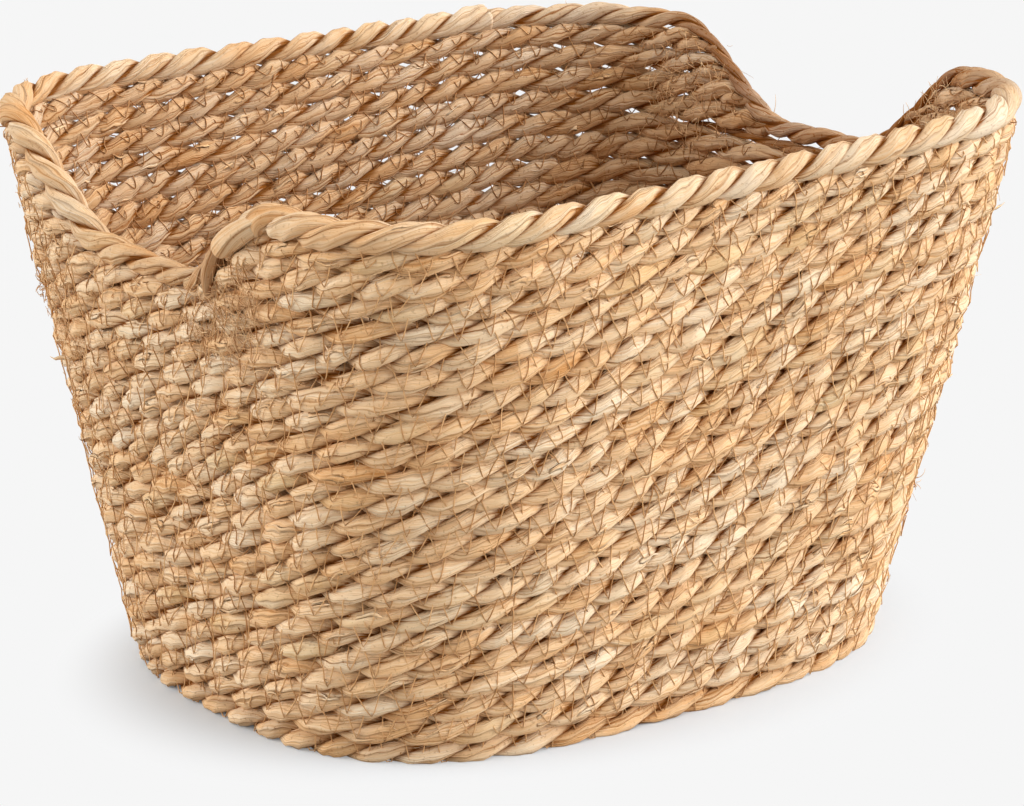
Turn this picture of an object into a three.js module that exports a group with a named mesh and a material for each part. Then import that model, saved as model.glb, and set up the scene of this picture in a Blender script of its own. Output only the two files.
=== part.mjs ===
// A coiled rope basket. A flat oval coil makes the base, and a second coil climbs from its edge as the wall. Short
// rows build up the two long sides above a hand-hold dip in each end, and a thicker rope is sewn round the rim.
// Millimetres, +Z up, X along the basket; the origin is on the ground under the middle of the base.
import * as THREE from "three";

// Outside of the basket, as half sizes of a rounded oblong at the ground and at the top of the rim.
const foot_half_length = 166;
const foot_half_width = 130;
const foot_squareness = 3.1;
const mouth_half_length = 200;
const mouth_half_width = 179;
const mouth_squareness = 4.9;
const basket_height = 263;
// The maker's hand leaves the front long side rising from left to right by this share of the height.
const hand_lean_share = 0.03;

// Ropes.
const rope_diameter = 10.6;
const short_rope_diameter = 9.9;
const rim_rope_diameter = 14;
const seam_gap = 0.5;
// The underside of the base is pressed flat by this share of the rope's diameter.
const flat_share = 0.1;

// The hand-hold dips: their depth, how far each floor reaches to the front and the back, and how long the rises are.
const dip_depth = 43;
const left_floor_front = 21;
const left_floor_back = 51;
const right_floor_front = 39;
const right_floor_back = 32;
const front_rise = 58;
const back_rise = 76;

// The length of the straight bar that the base starts from, as a share of what its oval leaves free.
const bar_share = 0.8;
// The two ends of the rim rope meet at this share of the half length, on the back.
const rim_splice_share = 0.6;
// Each coil steps up one row across the right end, within this share of a turn, and its trimmed tails fill the
// step.
const step_share = 0.22;
const tail_least_share = 0.4;

// Stations a turn on the coils and along each other rope, and samples for finding lengths, ends and gaps.
const wall_steps = 24;
const base_steps = 16;
const short_row_steps = 12;
const rim_steps = 64;
const path_samples = 720;
const gap_samples = 4;

// The section of a sewn rope, in shares of its radius: pressed flat where it meets the rows above and below.
const rope_section_shares = [
  [1, 0],
  [0.5, 1],
  [-0.5, 1],
  [-1, 0],
  [-0.5, -1],
  [0.5, -1],
];
// The base's rope, whose underside lies on the ground.
const base_section_shares = rope_section_shares.map(([out, up]) =>
  up < 0 ? [Math.sign(out) * (1 - (1 - 2 * flat_share) / 2), 2 * flat_share - 1] : [out, up],
);

const rope_radius = rope_diameter / 2;
const short_rope_radius = short_rope_diameter / 2;
const rim_rope_radius = rim_rope_diameter / 2;
const base_z = rope_radius - flat_share * rope_diameter;

// Heights of the rope centres, before the lean.
const rim_z = basket_height - rim_rope_radius;
const dip_z = rim_z - dip_depth;
const wall_top_z = dip_z - rim_rope_radius - seam_gap - rope_radius;
const least_pitch = (rope_diameter + seam_gap) / (1 - hand_lean_share);
const wall_turns = Math.floor((wall_top_z - base_z) / least_pitch);
const wall_pitch = (wall_top_z - base_z) / wall_turns;
const short_low_z = wall_top_z + rope_radius + seam_gap + short_rope_radius;
const short_top_z = rim_z - rim_rope_radius - seam_gap - short_rope_radius;
const least_short_pitch = (short_rope_diameter + seam_gap) / (1 - hand_lean_share);
const short_rows = Math.floor((short_top_z - short_low_z) / least_short_pitch) + 1;
const short_pitch = (short_top_z - short_low_z) / Math.max(short_rows - 1, 1);
const base_edge_width = outsideAt(base_z).half_width - rope_radius;
const base_turns = Math.floor(base_edge_width / (rope_diameter + seam_gap));
const base_pitch = base_edge_width / base_turns;
const bar_half_length = bar_share * (outsideAt(base_z).half_length - rope_radius - base_edge_width);

function mix(a, b, share) {
  return a + (b - a) * share;
}

function smooth(share) {
  const s = Math.min(Math.max(share, 0), 1);
  return s * s * (3 - 2 * s);
}

function outsideAt(z) {
  const share = z / basket_height;
  return {
    half_length: mix(foot_half_length, mouth_half_length, share),
    half_width: mix(foot_half_width, mouth_half_width, share),
    squareness: mix(foot_squareness, mouth_squareness, share),
  };
}

// A point of the rounded oblong |x/a|^n + |y/b|^n = 1. The angle runs from the right end by way of the back.
function oblong({ half_length, half_width, squareness }, angle, inset) {
  const power = 2 / squareness;
  const along = Math.cos(angle);
  const across = Math.sin(angle);
  return new THREE.Vector2(
    (half_length - inset) * Math.sign(along) * Math.abs(along) ** power,
    (half_width - inset) * Math.sign(across) * Math.abs(across) ** power,
  );
}

// A point in the thickness of the wall: the lean raises the front's right and lowers its left.
function onWall(angle, z, inset) {
  const { x, y } = oblong(outsideAt(z), angle, inset);
  const lean = (hand_lean_share * (x / mouth_half_length) * (1 - y / mouth_half_width)) / 2;
  return new THREE.Vector3(x, y, base_z + (z - base_z) * (1 + lean));
}

// A point of the base: row 0 is a straight bar in the middle, and the last row is the edge that carries the wall.
function onBase(angle, row) {
  const edge = oblong(outsideAt(base_z), angle, rope_radius);
  const bar_x = Math.min(Math.max(edge.x / 2, -bar_half_length), bar_half_length);
  const share = row / base_turns;
  return new THREE.Vector3(mix(bar_x, edge.x, share), edge.y * share, base_z);
}

// The row that a coil has reached after so many turns: level along most of a turn, and one up across the right end.
function rowAt(turn) {
  const crossing = Math.round(turn);
  return crossing - 1 + smooth((turn - crossing) / step_share + 1 / 2);
}

// The stations of one coil, each a centre and a radius, from its first turn to its last. The tail in the step at
// either end is trimmed to the wedge that the row beside it leaves free.
function coilStations({ place, first_turn, last_row, pitch, steps, tail_at_start }) {
  const stations = [];
  const last_turn = last_row + 1;
  const first_row = Math.floor(first_turn);
  const start = tail_at_start ? first_turn - step_share / 2 : first_turn;
  for (let step = Math.ceil(start * steps); step <= (last_turn + step_share / 2) * steps; step += 1) {
    const turn = step / steps;
    const head = tail_at_start ? smooth((turn - first_turn) / step_share + 1 / 2) : 1;
    const end = 1 - smooth((turn - last_turn) / step_share + 1 / 2);
    const free = Math.min(head, end) * pitch - (pitch - rope_diameter);
    const radius = Math.min(free / 2, rope_radius);
    if (radius < tail_least_share * rope_radius) continue;
    const row = Math.min(Math.max(rowAt(turn), first_row), last_row);
    const side = turn > last_turn - 1 / 2 ? 1 : -1;
    const centre = place(turn * 2 * Math.PI, row + (side * (rope_radius - radius)) / pitch);
    const before = stations.at(-1);
    if (!before || before.centre.distanceTo(centre) > rope_radius / 2) stations.push({ centre, radius });
  }
  return stations;
}

// The rope section at each station, square to the path, with its first axis outwards and its second one up. The
// mitre at a bend widens it, so that the rope keeps its thickness between the stations.
function ringsOf(stations, section_shares) {
  return stations.map(({ centre, radius }, i) => {
    const before = stations[Math.max(i - 1, 0)].centre;
    const after = stations[Math.min(i + 1, stations.length - 1)].centre;
    const into = centre.clone().sub(before).normalize();
    const out_of = after.clone().sub(centre).normalize();
    const mitre = i > 0 && i < stations.length - 1 ? Math.sqrt((1 + into.dot(out_of)) / 2) : 1;
    const tangent = after.clone().sub(before).normalize();
    const outward = new THREE.Vector3().crossVectors(tangent, new THREE.Vector3(0, 0, 1)).normalize();
    const up = new THREE.Vector3().crossVectors(outward, tangent);
    return section_shares.map(([out, rise]) =>
      centre
        .clone()
        .addScaledVector(outward, (out * radius) / mitre)
        .addScaledVector(up, rise * radius),
    );
  });
}

// One closed tube through the rings, with a fan of triangles over each end.
function ropeGeometry(rings) {
  const sides = rings[0].length;
  const positions = rings.flat().flatMap((p) => [p.x, p.y, p.z]);
  const faces = [];
  for (let ring = 0; ring < rings.length - 1; ring += 1) {
    for (let side = 0; side < sides; side += 1) {
      const a = ring * sides + side;
      const b = ring * sides + ((side + 1) % sides);
      faces.push(a, b + sides, b, a, a + sides, b + sides);
    }
  }
  const last = (rings.length - 1) * sides;
  for (let side = 1; side < sides - 1; side += 1) {
    faces.push(0, side, side + 1, last, last + side + 1, last + side);
  }
  const geometry = new THREE.BufferGeometry();
  geometry.setAttribute("position", new THREE.Float32BufferAttribute(positions, 3));
  geometry.setIndex(faces);
  geometry.computeVertexNormals();
  return geometry;
}

// The least distance between points on the tube's edges that lie at least half a turn apart along the coil.
function leastGap(rings, steps) {
  const points = [];
  for (let ring = 0; ring < rings.length - 1; ring += 1) {
    for (let sample = 0; sample < gap_samples; sample += 1) {
      for (let side = 0; side < rings[ring].length; side += 1) {
        const p = rings[ring][side].clone().lerp(rings[ring + 1][side], sample / gap_samples);
        points.push({ ring, p });
      }
    }
  }
  let least = Infinity;
  for (let i = 0; i < points.length; i += 1) {
    for (let j = i + 1; j < points.length; j += 1) {
      if (points[j].ring - points[i].ring < steps / 2) continue;
      least = Math.min(least, points[i].p.distanceToSquared(points[j].p));
    }
  }
  return Math.sqrt(least);
}

// How deep the dip is at y on one end, from 0 beside it to 1 on its floor.
function dipShare(y, floor_front, floor_back) {
  return 1 - (y < 0 ? smooth((-y - floor_front) / front_rise) : smooth((y - floor_back) / back_rise));
}

function rimPoint(angle) {
  const { x, y } = oblong(outsideAt(basket_height), angle, rope_radius);
  const on_end = Math.abs(x) > mouth_half_length / 2;
  const floor_front = x < 0 ? left_floor_front : right_floor_front;
  const floor_back = x < 0 ? left_floor_back : right_floor_back;
  const depth = on_end ? dip_depth * dipShare(y, floor_front, floor_back) : 0;
  return onWall(angle, rim_z - depth, rope_radius);
}

// The rim rope runs once round from its splice on the back, and its ends stand a seam's gap apart.
function rimStations() {
  const start = Math.acos(rim_splice_share ** (mouth_squareness / 2));
  const curve = new THREE.CatmullRomCurve3(
    Array.from({ length: path_samples + 1 }, (_, i) => rimPoint(start + (2 * Math.PI * i) / path_samples)),
  );
  curve.arcLengthDivisions = path_samples;
  const used_share = 1 - seam_gap / curve.getLength();
  return Array.from({ length: rim_steps + 1 }, (_, i) => ({
    centre: curve.getPointAt((used_share * i) / rim_steps),
    radius: rim_rope_radius,
  }));
}

// A short row lies on one long side and reaches round both corners, as far as the rim rope leaves it room.
function shortRowStations(middle_angle, z, rim_path) {
  const reach = (rim_rope_radius + short_rope_radius + seam_gap) * (1 - hand_lean_share);
  const clear = (angle) => {
    const p = onWall(angle, z, rope_radius);
    return rim_path.every((q) => q.distanceTo(p) > reach);
  };
  const ends = [-1, 1].map((way) => {
    let turn = 0;
    while (turn < path_samples / 2 && clear(middle_angle + (way * Math.PI * turn) / path_samples)) turn += 1;
    return middle_angle + (way * Math.PI * (turn - 1)) / path_samples;
  });
  return Array.from({ length: short_row_steps + 1 }, (_, i) => ({
    centre: onWall(mix(ends[0], ends[1], i / short_row_steps), z, rope_radius),
    radius: short_rope_radius,
  }));
}

function ropeMesh(name, rings, colour, roughness) {
  const material = new THREE.MeshStandardMaterial({ color: colour, roughness, metalness: 0 });
  const mesh = new THREE.Mesh(ropeGeometry(rings), material);
  mesh.name = name;
  return mesh;
}

function buildBasket() {
  const basket = new THREE.Group();

  const base_rings = ringsOf(
    coilStations({
      place: onBase,
      first_turn: 1 / 2,
      last_row: base_turns,
      pitch: base_pitch,
      steps: base_steps,
      tail_at_start: false,
    }),
    base_section_shares,
  );
  basket.add(ropeMesh("base_coil", base_rings, 0xb68a58, 0.9));

  const wall_rings = ringsOf(
    coilStations({
      place: (angle, row) => onWall(angle, base_z + row * wall_pitch, rope_radius),
      first_turn: 1,
      last_row: wall_turns,
      pitch: wall_pitch,
      steps: wall_steps,
      tail_at_start: true,
    }),
    rope_section_shares,
  );
  basket.add(ropeMesh("wall_coil", wall_rings, 0xcfa676, 0.85));

  const rim_stations = rimStations();
  basket.add(ropeMesh("rim_rope", ringsOf(rim_stations, rope_section_shares), 0xd8b488, 0.8));

  const rim_path = rim_stations
    .slice(1)
    .flatMap(({ centre }, i) =>
      Array.from({ length: gap_samples }, (_, k) => rim_stations[i].centre.clone().lerp(centre, k / gap_samples)),
    );
  for (const [side, middle_angle] of [
    ["front", -Math.PI / 2],
    ["back", Math.PI / 2],
  ]) {
    for (let row = 0; row < short_rows; row += 1) {
      const stations = shortRowStations(middle_angle, short_low_z + row * short_pitch, rim_path);
      basket.add(ropeMesh(`${side}_row_${row + 1}`, ringsOf(stations, rope_section_shares), 0xcaa070, 0.85));
    }
  }

  console.log(`base coil: ${base_turns} turns, least gap to itself ${leastGap(base_rings, base_steps).toFixed(2)} mm`);
  console.log(`wall coil: ${wall_turns} turns, least gap to itself ${leastGap(wall_rings, wall_steps).toFixed(2)} mm`);
  return basket;
}

export default buildBasket();
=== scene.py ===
"""A coiled rush basket on a pale floor.

Every rope is two twisted strands of rush leaf that follow the rope's own path, as the basket's solids have it.
The sewing thread crosses each seam in a zigzag on both faces, and leaf ends and fibres stand off the ropes.
Metres, +Z up, X along the basket; the origin is on the ground under the middle of the base.
"""

import itertools
import logging
import math
from dataclasses import dataclass, field
from enum import Enum

import bpy
import numpy as np
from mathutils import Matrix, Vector


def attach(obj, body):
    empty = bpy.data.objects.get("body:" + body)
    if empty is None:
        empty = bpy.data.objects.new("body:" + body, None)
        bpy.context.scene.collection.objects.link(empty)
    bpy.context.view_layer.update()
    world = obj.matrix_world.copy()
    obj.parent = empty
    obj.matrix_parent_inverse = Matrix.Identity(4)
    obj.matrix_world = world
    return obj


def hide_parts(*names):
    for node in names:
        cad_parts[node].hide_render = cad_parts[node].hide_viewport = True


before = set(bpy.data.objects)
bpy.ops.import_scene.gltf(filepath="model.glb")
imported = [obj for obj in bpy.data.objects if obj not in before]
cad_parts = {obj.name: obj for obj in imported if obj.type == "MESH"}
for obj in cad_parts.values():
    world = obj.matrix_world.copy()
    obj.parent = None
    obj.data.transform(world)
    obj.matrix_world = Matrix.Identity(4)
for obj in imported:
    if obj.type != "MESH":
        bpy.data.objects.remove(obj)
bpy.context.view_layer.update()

LOG = logging.getLogger("basket")
TURN = 2 * math.pi
Pair = tuple[float, float]
Triple = tuple[float, float, float]
Colour = tuple[int, int, int]


def smooth(share: np.ndarray) -> np.ndarray:
    """Rises from 0 to 1 with level ends: 3s^2 - 2s^3, and is flat outside."""
    s = np.clip(share, 0.0, 1.0)
    return s * s * (3 - 2 * s)


def unit(vectors: np.ndarray) -> np.ndarray:
    """The vectors at length 1."""
    return vectors / np.linalg.norm(vectors, axis=-1, keepdims=True)


def linear(red: int, green: int, blue: int) -> tuple[float, float, float, float]:
    """A screen colour of 0 to 255 as the linear colour that a shader takes, by the usual screen curve.

    Args:
        red: The red on screen.
        green: The green on screen.
        blue: The blue on screen.

    Returns:
        Red, green, blue and an alpha of 1.
    """
    shares = np.array([red, green, blue]) / 255
    low, high = shares / 12.92, ((shares + 0.055) / 1.055) ** 2.4
    return (*(float(v) for v in np.where(shares <= 0.04045, low, high)), 1.0)


@dataclass(frozen=True)
class Drift:
    """A smooth random change along a rope: its spread, the length between two random values, and its limit."""

    spread: float
    stride: float
    limit: float = math.inf

    def along(self, rng: np.random.Generator, lengths: np.ndarray) -> np.ndarray:
        """The change along a rope: the spread times a random value at each stride, eased from one to the next.

        Args:
            rng: The source of the values, which have a mean of 0 and a spread of 1.
            lengths: Lengths along the rope.

        Returns:
            The change at each length.
        """
        place = lengths / self.stride
        knots = rng.standard_normal(int(place.max()) + 2)
        step = np.floor(place).astype(int)
        eased = knots[step] + (knots[step + 1] - knots[step]) * smooth(place - step)
        return self.spread * np.clip(eased, -self.limit, self.limit)


class Face(Enum):
    """The two faces of the sewn fabric."""

    OUTSIDE = 1
    INSIDE = -1


@dataclass(frozen=True)
class Form:
    """The basket's sizes, which are its solids' sizes, and the places that follow from them."""

    foot_half_length: float = 0.166
    foot_half_width: float = 0.130
    foot_squareness: float = 3.1
    mouth_half_length: float = 0.200
    mouth_half_width: float = 0.179
    mouth_squareness: float = 4.9
    height: float = 0.263
    hand_lean_share: float = 0.03
    rope_diameter: float = 0.0106
    short_rope_diameter: float = 0.0099
    rim_rope_diameter: float = 0.014
    seam_gap: float = 0.0005
    flat_share: float = 0.1
    dip_depth: float = 0.043
    left_floor: Pair = (0.024, 0.051)
    right_floor: Pair = (0.039, 0.032)
    front_rise: float = 0.058
    left_front_rise: float = 0.070
    back_rise: float = 0.076
    bar_share: float = 0.8
    rim_splice_share: float = 0.6
    step_share: float = 0.22
    tail_least_share: float = 0.15
    wall_turns: int = 17
    base_turns: int = 11
    short_rows: int = 4
    wobble_out: float = 0.0008
    wobble_up: float = 0.0006
    waves_out: tuple[Triple, ...] = ((5, 9, 0.0), (9, -14, 1.7), (14, 23, 0.0))
    waves_up: tuple[Triple, ...] = ((7, 6, 0.6), (12, -8, 0.0))

    @property
    def inset(self) -> float:
        """How far the ropes' centres lie inside the outside."""
        return self.rope_diameter / 2

    @property
    def base_z(self) -> float:
        """The height of the base rope's centre."""
        return self.inset - self.flat_share * self.rope_diameter

    @property
    def rim_z(self) -> float:
        """The height of the rim rope's centre on the long sides."""
        return self.height - self.rim_rope_diameter / 2

    @property
    def wall_top_z(self) -> float:
        """The height of the centre of the last full row."""
        return self.rim_z - self.dip_depth - self.rim_rope_diameter / 2 - self.seam_gap - self.inset

    @property
    def wall_pitch(self) -> float:
        """The height from one row to the next."""
        return (self.wall_top_z - self.base_z) / self.wall_turns

    @property
    def short_heights(self) -> np.ndarray:
        """The heights of the short rows' centres."""
        radius = self.short_rope_diameter / 2
        low = self.wall_top_z + self.inset + self.seam_gap + radius
        high = self.rim_z - self.rim_rope_diameter / 2 - self.seam_gap - radius
        return np.linspace(low, high, self.short_rows)

    def oblong(self, z: np.ndarray, angle: np.ndarray, inset: float) -> tuple[np.ndarray, np.ndarray]:
        """A point of the rounded oblong |x/a|^n + |y/b|^n = 1, whose sizes change evenly with the height.

        Args:
            z: The height.
            angle: The angle, from the right end by way of the back.
            inset: How far both half sizes are taken in.

        Returns:
            x and y.
        """
        share = z / self.height
        length = self.foot_half_length + (self.mouth_half_length - self.foot_half_length) * share - inset
        width = self.foot_half_width + (self.mouth_half_width - self.foot_half_width) * share - inset
        power = 2 / (self.foot_squareness + (self.mouth_squareness - self.foot_squareness) * share)
        along, across = np.cos(angle), np.sin(angle)
        x = length * np.sign(along) * np.abs(along) ** power
        y = width * np.sign(across) * np.abs(across) ** power
        return x, y

    def on_wall(self, angle: np.ndarray, z: np.ndarray) -> np.ndarray:
        """A point in the thickness of the wall, with the maker's lean and a slight wobble of the rows.

        The wobble is a mean of sines, nearly the same for neighbouring rows. Each wave gives how often it repeats
        round the basket, by how many radians it shifts from the ground to the rim, and where it starts.

        Args:
            angle: The angle, from the right end by way of the back.
            z: The height before the lean.

        Returns:
            The points, one row of three numbers for each angle.
        """
        angle, z = np.broadcast_arrays(angle, z)
        share = z / self.height
        out, up = (
            sum(np.sin(around * angle + upward * share + start) for around, upward, start in waves) / len(waves)
            for waves in (self.waves_out, self.waves_up)
        )
        x, y = self.oblong(z, angle, self.inset - self.wobble_out * out)
        lean = self.hand_lean_share * (x / self.mouth_half_length) * (1 - y / self.mouth_half_width) / 2
        raised = z + self.wobble_up * up * smooth(share * 4)
        return np.stack([x, y, self.base_z + (raised - self.base_z) * (1 + lean)], axis=-1)

    def on_base(self, angle: np.ndarray, row: np.ndarray) -> np.ndarray:
        """A point of the base: row 0 is a straight bar, and each next row is mixed towards the oval edge.

        Args:
            angle: The angle, from the right end.
            row: The row, from 0 in the middle to base_turns at the edge.

        Returns:
            The points.
        """
        x, y = self.oblong(self.base_z, angle, self.inset)
        free = self.foot_half_length - self.foot_half_width
        bar = np.clip(x / 2, -self.bar_share * free, self.bar_share * free)
        share = row / self.base_turns
        return np.stack([bar + (x - bar) * share, y * share, np.full_like(x, self.base_z)], axis=-1)

    def row_at(self, turn: np.ndarray) -> np.ndarray:
        """The row that a coil has reached: level along most of a turn, and one up across the right end."""
        crossing = np.round(turn)
        return crossing - 1 + smooth((turn - crossing) / self.step_share + 0.5)

    def on_rim(self, angle: np.ndarray, below: float = 0.0) -> np.ndarray:
        """A point of the rim rope's centre line, which dips at both ends.

        Args:
            angle: The angle, from the right end by way of the back.
            below: How far under the centre line the point is wanted.

        Returns:
            The points.
        """
        x, y = self.oblong(self.height, angle, self.inset)
        front = np.where(x < 0, self.left_floor[0], self.right_floor[0])
        back = np.where(x < 0, self.left_floor[1], self.right_floor[1])
        front_rise = np.where(x < 0, self.left_front_rise, self.front_rise)
        rise = np.where(y < 0, smooth((-y - front) / front_rise), smooth((y - back) / self.back_rise))
        depth = np.where(np.abs(x) > self.mouth_half_length / 2, self.dip_depth * (1 - rise), 0.0)
        return self.on_wall(angle, self.rim_z - depth - below)


@dataclass
class Path:
    """A rope's centre line.

    Each point has its angle round the basket, its place, the way to the next row, and the rope's thickness and
    browning there as shares. The browning is partly the rope's own browner colour and partly painted shade.
    """

    angles: np.ndarray
    points: np.ndarray
    rises: np.ndarray
    shares: np.ndarray
    stains_and_shade: np.ndarray | None = None
    least_step: float = 1e-7
    lengths: np.ndarray = field(init=False)
    alongs: np.ndarray = field(init=False)

    def __post_init__(self) -> None:
        """Drops each point that repeats the last, and measures the lengths and directions along the rest."""
        if self.stains_and_shade is None:
            self.stains_and_shade = np.zeros_like(self.shares)
        steps = np.linalg.norm(np.diff(self.points, axis=0), axis=1)
        onward = np.concatenate([[True], steps > self.least_step])
        self.angles, self.points, self.rises = self.angles[onward], self.points[onward], self.rises[onward]
        self.shares, self.stains_and_shade = self.shares[onward], self.stains_and_shade[onward]
        self.lengths = np.concatenate([[0.0], np.cumsum(steps[onward[1:]])])
        self.alongs = unit(np.gradient(self.points, self.lengths, axis=0))

    @property
    def length(self) -> float:
        """The whole length."""
        return float(self.lengths[-1])

    def read(self, values: np.ndarray, s: np.ndarray) -> np.ndarray:
        """Values that belong to the points, at any lengths along the path.

        Args:
            values: One number, or a row of numbers, for each point.
            s: Lengths along the path.

        Returns:
            The values there, mixed from the two nearest points.
        """
        if values.ndim == 1:
            return np.interp(s, self.lengths, values)
        return np.stack([np.interp(s, self.lengths, column) for column in values.T], axis=-1)

    def frames(self, s: np.ndarray) -> tuple[np.ndarray, np.ndarray, np.ndarray, np.ndarray]:
        """The centre and the three directions of the rope: along it, out of the fabric, and to the next row.

        Args:
            s: Lengths along the path.

        Returns:
            The centres, the directions along, out and up.
        """
        along = unit(self.read(self.alongs, s))
        out = unit(np.cross(along, self.read(self.rises, s)))
        return self.read(self.points, s), along, out, np.cross(out, along)

    def angle_at(self, s: np.ndarray) -> np.ndarray:
        """The angle at lengths along the path."""
        return self.read(self.angles, s)

    def length_at(self, angle: np.ndarray) -> np.ndarray:
        """The length along the path at angles."""
        return np.interp(angle, self.angles, self.lengths)


@dataclass
class Rope:
    """Strands laid together round a path.

    The sizes of a strand are shares of the rope's radius. The lay is the length of one turn, and by the unlay
    share the leaves turn back against it. A drift is how a size or an angle wanders along the rope. The offsets
    keep the grain of each strand and rope apart.
    """

    path: Path
    radius: float
    lay: float
    seed: int
    floor_z: float = -1.0
    strands: int = 2
    leaves: int = 3
    offset_share: float = 0.45
    depth_share: float = 0.57
    width_share: float = 0.7
    unlay_share: float = 0.72
    squareness: float = 0.8
    thin_stain: float = 0.8
    # Painted shade on the strands' inside face, and in the groove from the groove reach inward.
    inside_painted_shade: float = 0.34
    groove_reach: float = 0.72
    groove_softness: float = 0.26
    lay_drift: Drift = Drift(0.13, 0.07, 2.0)
    swell_drift: Drift = Drift(0.035, 0.045, 2.0)
    turn_drift: Drift = Drift(0.16, 0.05, 2.0)
    fat_drift: Drift = Drift(0.07, 0.03, 2.0)
    roll_drift: Drift = Drift(0.3, 0.04)
    crease_drift: Drift = Drift(0.3, 0.05)
    edge_drift: Drift = Drift(0.5, 0.05)
    sample: float = 0.001
    edge_step: float = 0.13
    edge_crowding: float = 0.12
    edge_margin: float = 0.02
    leaf_radius_share: float = 0.62
    crease_depth: float = 0.11
    crease_breadth: float = 0.25
    gap_closed: float = 0.0004
    gap_opened: float = 0.0006
    creases: int = 3
    strand_offset: float = 31.7
    rope_offset: float = 100.0
    grid: np.ndarray = field(init=False)
    phase: np.ndarray = field(init=False)
    swell: np.ndarray = field(init=False)
    jitter: np.ndarray = field(init=False)
    fatness: np.ndarray = field(init=False)
    rolls: np.ndarray = field(init=False)
    hollows: np.ndarray = field(init=False)
    edges: np.ndarray = field(init=False)
    pressed: dict[int, np.ndarray] = field(init=False)

    def __post_init__(self) -> None:
        """Draws how the lay, the thickness and each strand wander along the rope."""
        rng = np.random.default_rng(self.seed)
        self.grid = np.linspace(0.0, self.path.length, int(self.path.length / self.sample) + 2)
        lay = self.lay * (1 + self.lay_drift.along(rng, self.grid))
        step = self.grid[1] - self.grid[0]
        self.phase = rng.uniform(0, TURN) + np.cumsum(TURN / lay) * step
        self.swell = 1 + self.swell_drift.along(rng, self.grid)
        strands, creases, leaves = range(self.strands), range(self.creases), range(self.leaves)
        self.jitter = np.stack([self.turn_drift.along(rng, self.grid) for _ in strands])
        self.fatness = np.stack([1 + self.fat_drift.along(rng, self.grid) for _ in strands])
        unlaid = self.unlay_share * (self.offset_share + self.depth_share) / self.width_share
        self.rolls = np.stack([self.roll_drift.along(rng, self.grid) - unlaid * self.phase for _ in strands])
        self.hollows = np.stack(
            [[rng.uniform(0, TURN) + self.crease_drift.along(rng, self.grid) for _ in creases] for _ in strands]
        )
        self.edges = np.stack([[1 + self.edge_drift.along(rng, self.grid) for _ in leaves] for _ in strands])
        self.pressed = {1: np.ones_like(self.grid), -1: np.ones_like(self.grid)}

    def at(self, values: np.ndarray, s: np.ndarray) -> np.ndarray:
        """A wandering value at lengths along the rope."""
        return np.interp(s, self.grid, values)

    def strand_angle(self, number: int, s: np.ndarray) -> np.ndarray:
        """The angle of one strand round the rope's centre, from the outside face upwards."""
        return self.at(self.phase, s) + TURN * number / self.strands + self.at(self.jitter[number], s)

    def sizes(self, number: int, s: np.ndarray) -> tuple[np.ndarray, np.ndarray, np.ndarray]:
        """The offset, half depth and half width of one strand.

        Args:
            number: Which strand.
            s: Lengths along the rope.

        Returns:
            The three sizes at each length.
        """
        radius = self.radius * self.at(self.swell, s) * self.path.read(self.path.shares, s)
        fat = self.at(self.fatness[number], s)
        return radius * self.offset_share, radius * self.depth_share * fat, radius * self.width_share * fat

    def reach(self, s: np.ndarray, way: int) -> np.ndarray:
        """How far the rope reaches towards the next row, before it is pressed.

        An ellipse reaches its centre plus the root of (depth sine)^2 + (width cosine)^2.

        Args:
            s: Lengths along the rope.
            way: 1 for the next row, -1 for the row before.

        Returns:
            The reach at each length.
        """
        reaches = []
        for number in range(self.strands):
            turned = self.strand_angle(number, s)
            offset, depth, width = self.sizes(number, s)
            sine, cosine = np.sin(turned), np.cos(turned)
            reaches.append(way * offset * sine + np.hypot(depth * sine, width * cosine))
        return np.max(reaches, axis=0)

    def lean_on(self, other: "Rope", shift: float, way: int) -> None:
        """Presses this rope against a neighbour.

        Half of the room between the two is taken up by stretching this rope. Where the room is wide, it stays
        open, and where the two overlap they nest as they are.

        Args:
            other: The neighbour.
            shift: The angle from a point of this rope to the one beside it.
            way: 1 where the neighbour is the next row, -1 where it is the row before.
        """
        angle = self.path.angle_at(self.grid) + shift
        beside = (angle > other.path.angles[0]) & (angle < other.path.angles[-1])
        there = other.path.length_at(angle)
        apart = self.path.read(self.path.points, self.grid) - other.path.read(other.path.points, there)
        own = self.reach(self.grid, way)
        room = np.linalg.norm(apart, axis=-1) - own - other.reach(there, -way)
        taken = np.clip(room, 0, self.radius / 2) * (1 - smooth((room - self.gap_closed) / self.gap_opened))
        self.pressed[way] = np.where(beside, 1 + taken / (2 * own), self.pressed[way])

    def press_share(self, s: np.ndarray, up: np.ndarray) -> np.ndarray:
        """How much the rope is stretched towards the neighbour on that side."""
        return np.where(up > 0, self.at(self.pressed[1], s), self.at(self.pressed[-1], s))

    def face_height(self, s: np.ndarray, up: np.ndarray, face: Face) -> np.ndarray:
        """How far the rope stands out of its centre line, at a distance up from it.

        Each strand's section is an ellipse, and the far root of its quadratic is where a line across the fabric
        leaves it. The strand that stands out furthest counts.

        Args:
            s: Lengths along the rope.
            up: Distances from the centre line towards the next row.
            face: The face of the fabric.

        Returns:
            The heights, which are low where no strand is met.
        """
        up = up / self.press_share(s, up)
        best = np.full(np.broadcast(s, up).shape, -self.radius)
        for number in range(self.strands):
            turned = self.strand_angle(number, s)
            offset, depth, width = self.sizes(number, s)
            cosine, sine = np.cos(turned), np.sin(turned)
            rise = up - offset * sine
            a = (cosine / depth) ** 2 + (sine / width) ** 2
            b = 2 * rise * sine * cosine * (1 / depth**2 - 1 / width**2)
            c = rise**2 * ((sine / depth) ** 2 + (cosine / width) ** 2) - 1
            inside = b * b - 4 * a * c
            root = (-b + face.value * np.sqrt(np.maximum(inside, 0.0))) / (2 * a)
            height = face.value * (offset * cosine + root)
            best = np.where(inside > 0, np.maximum(best, height), best)
        return best

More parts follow.
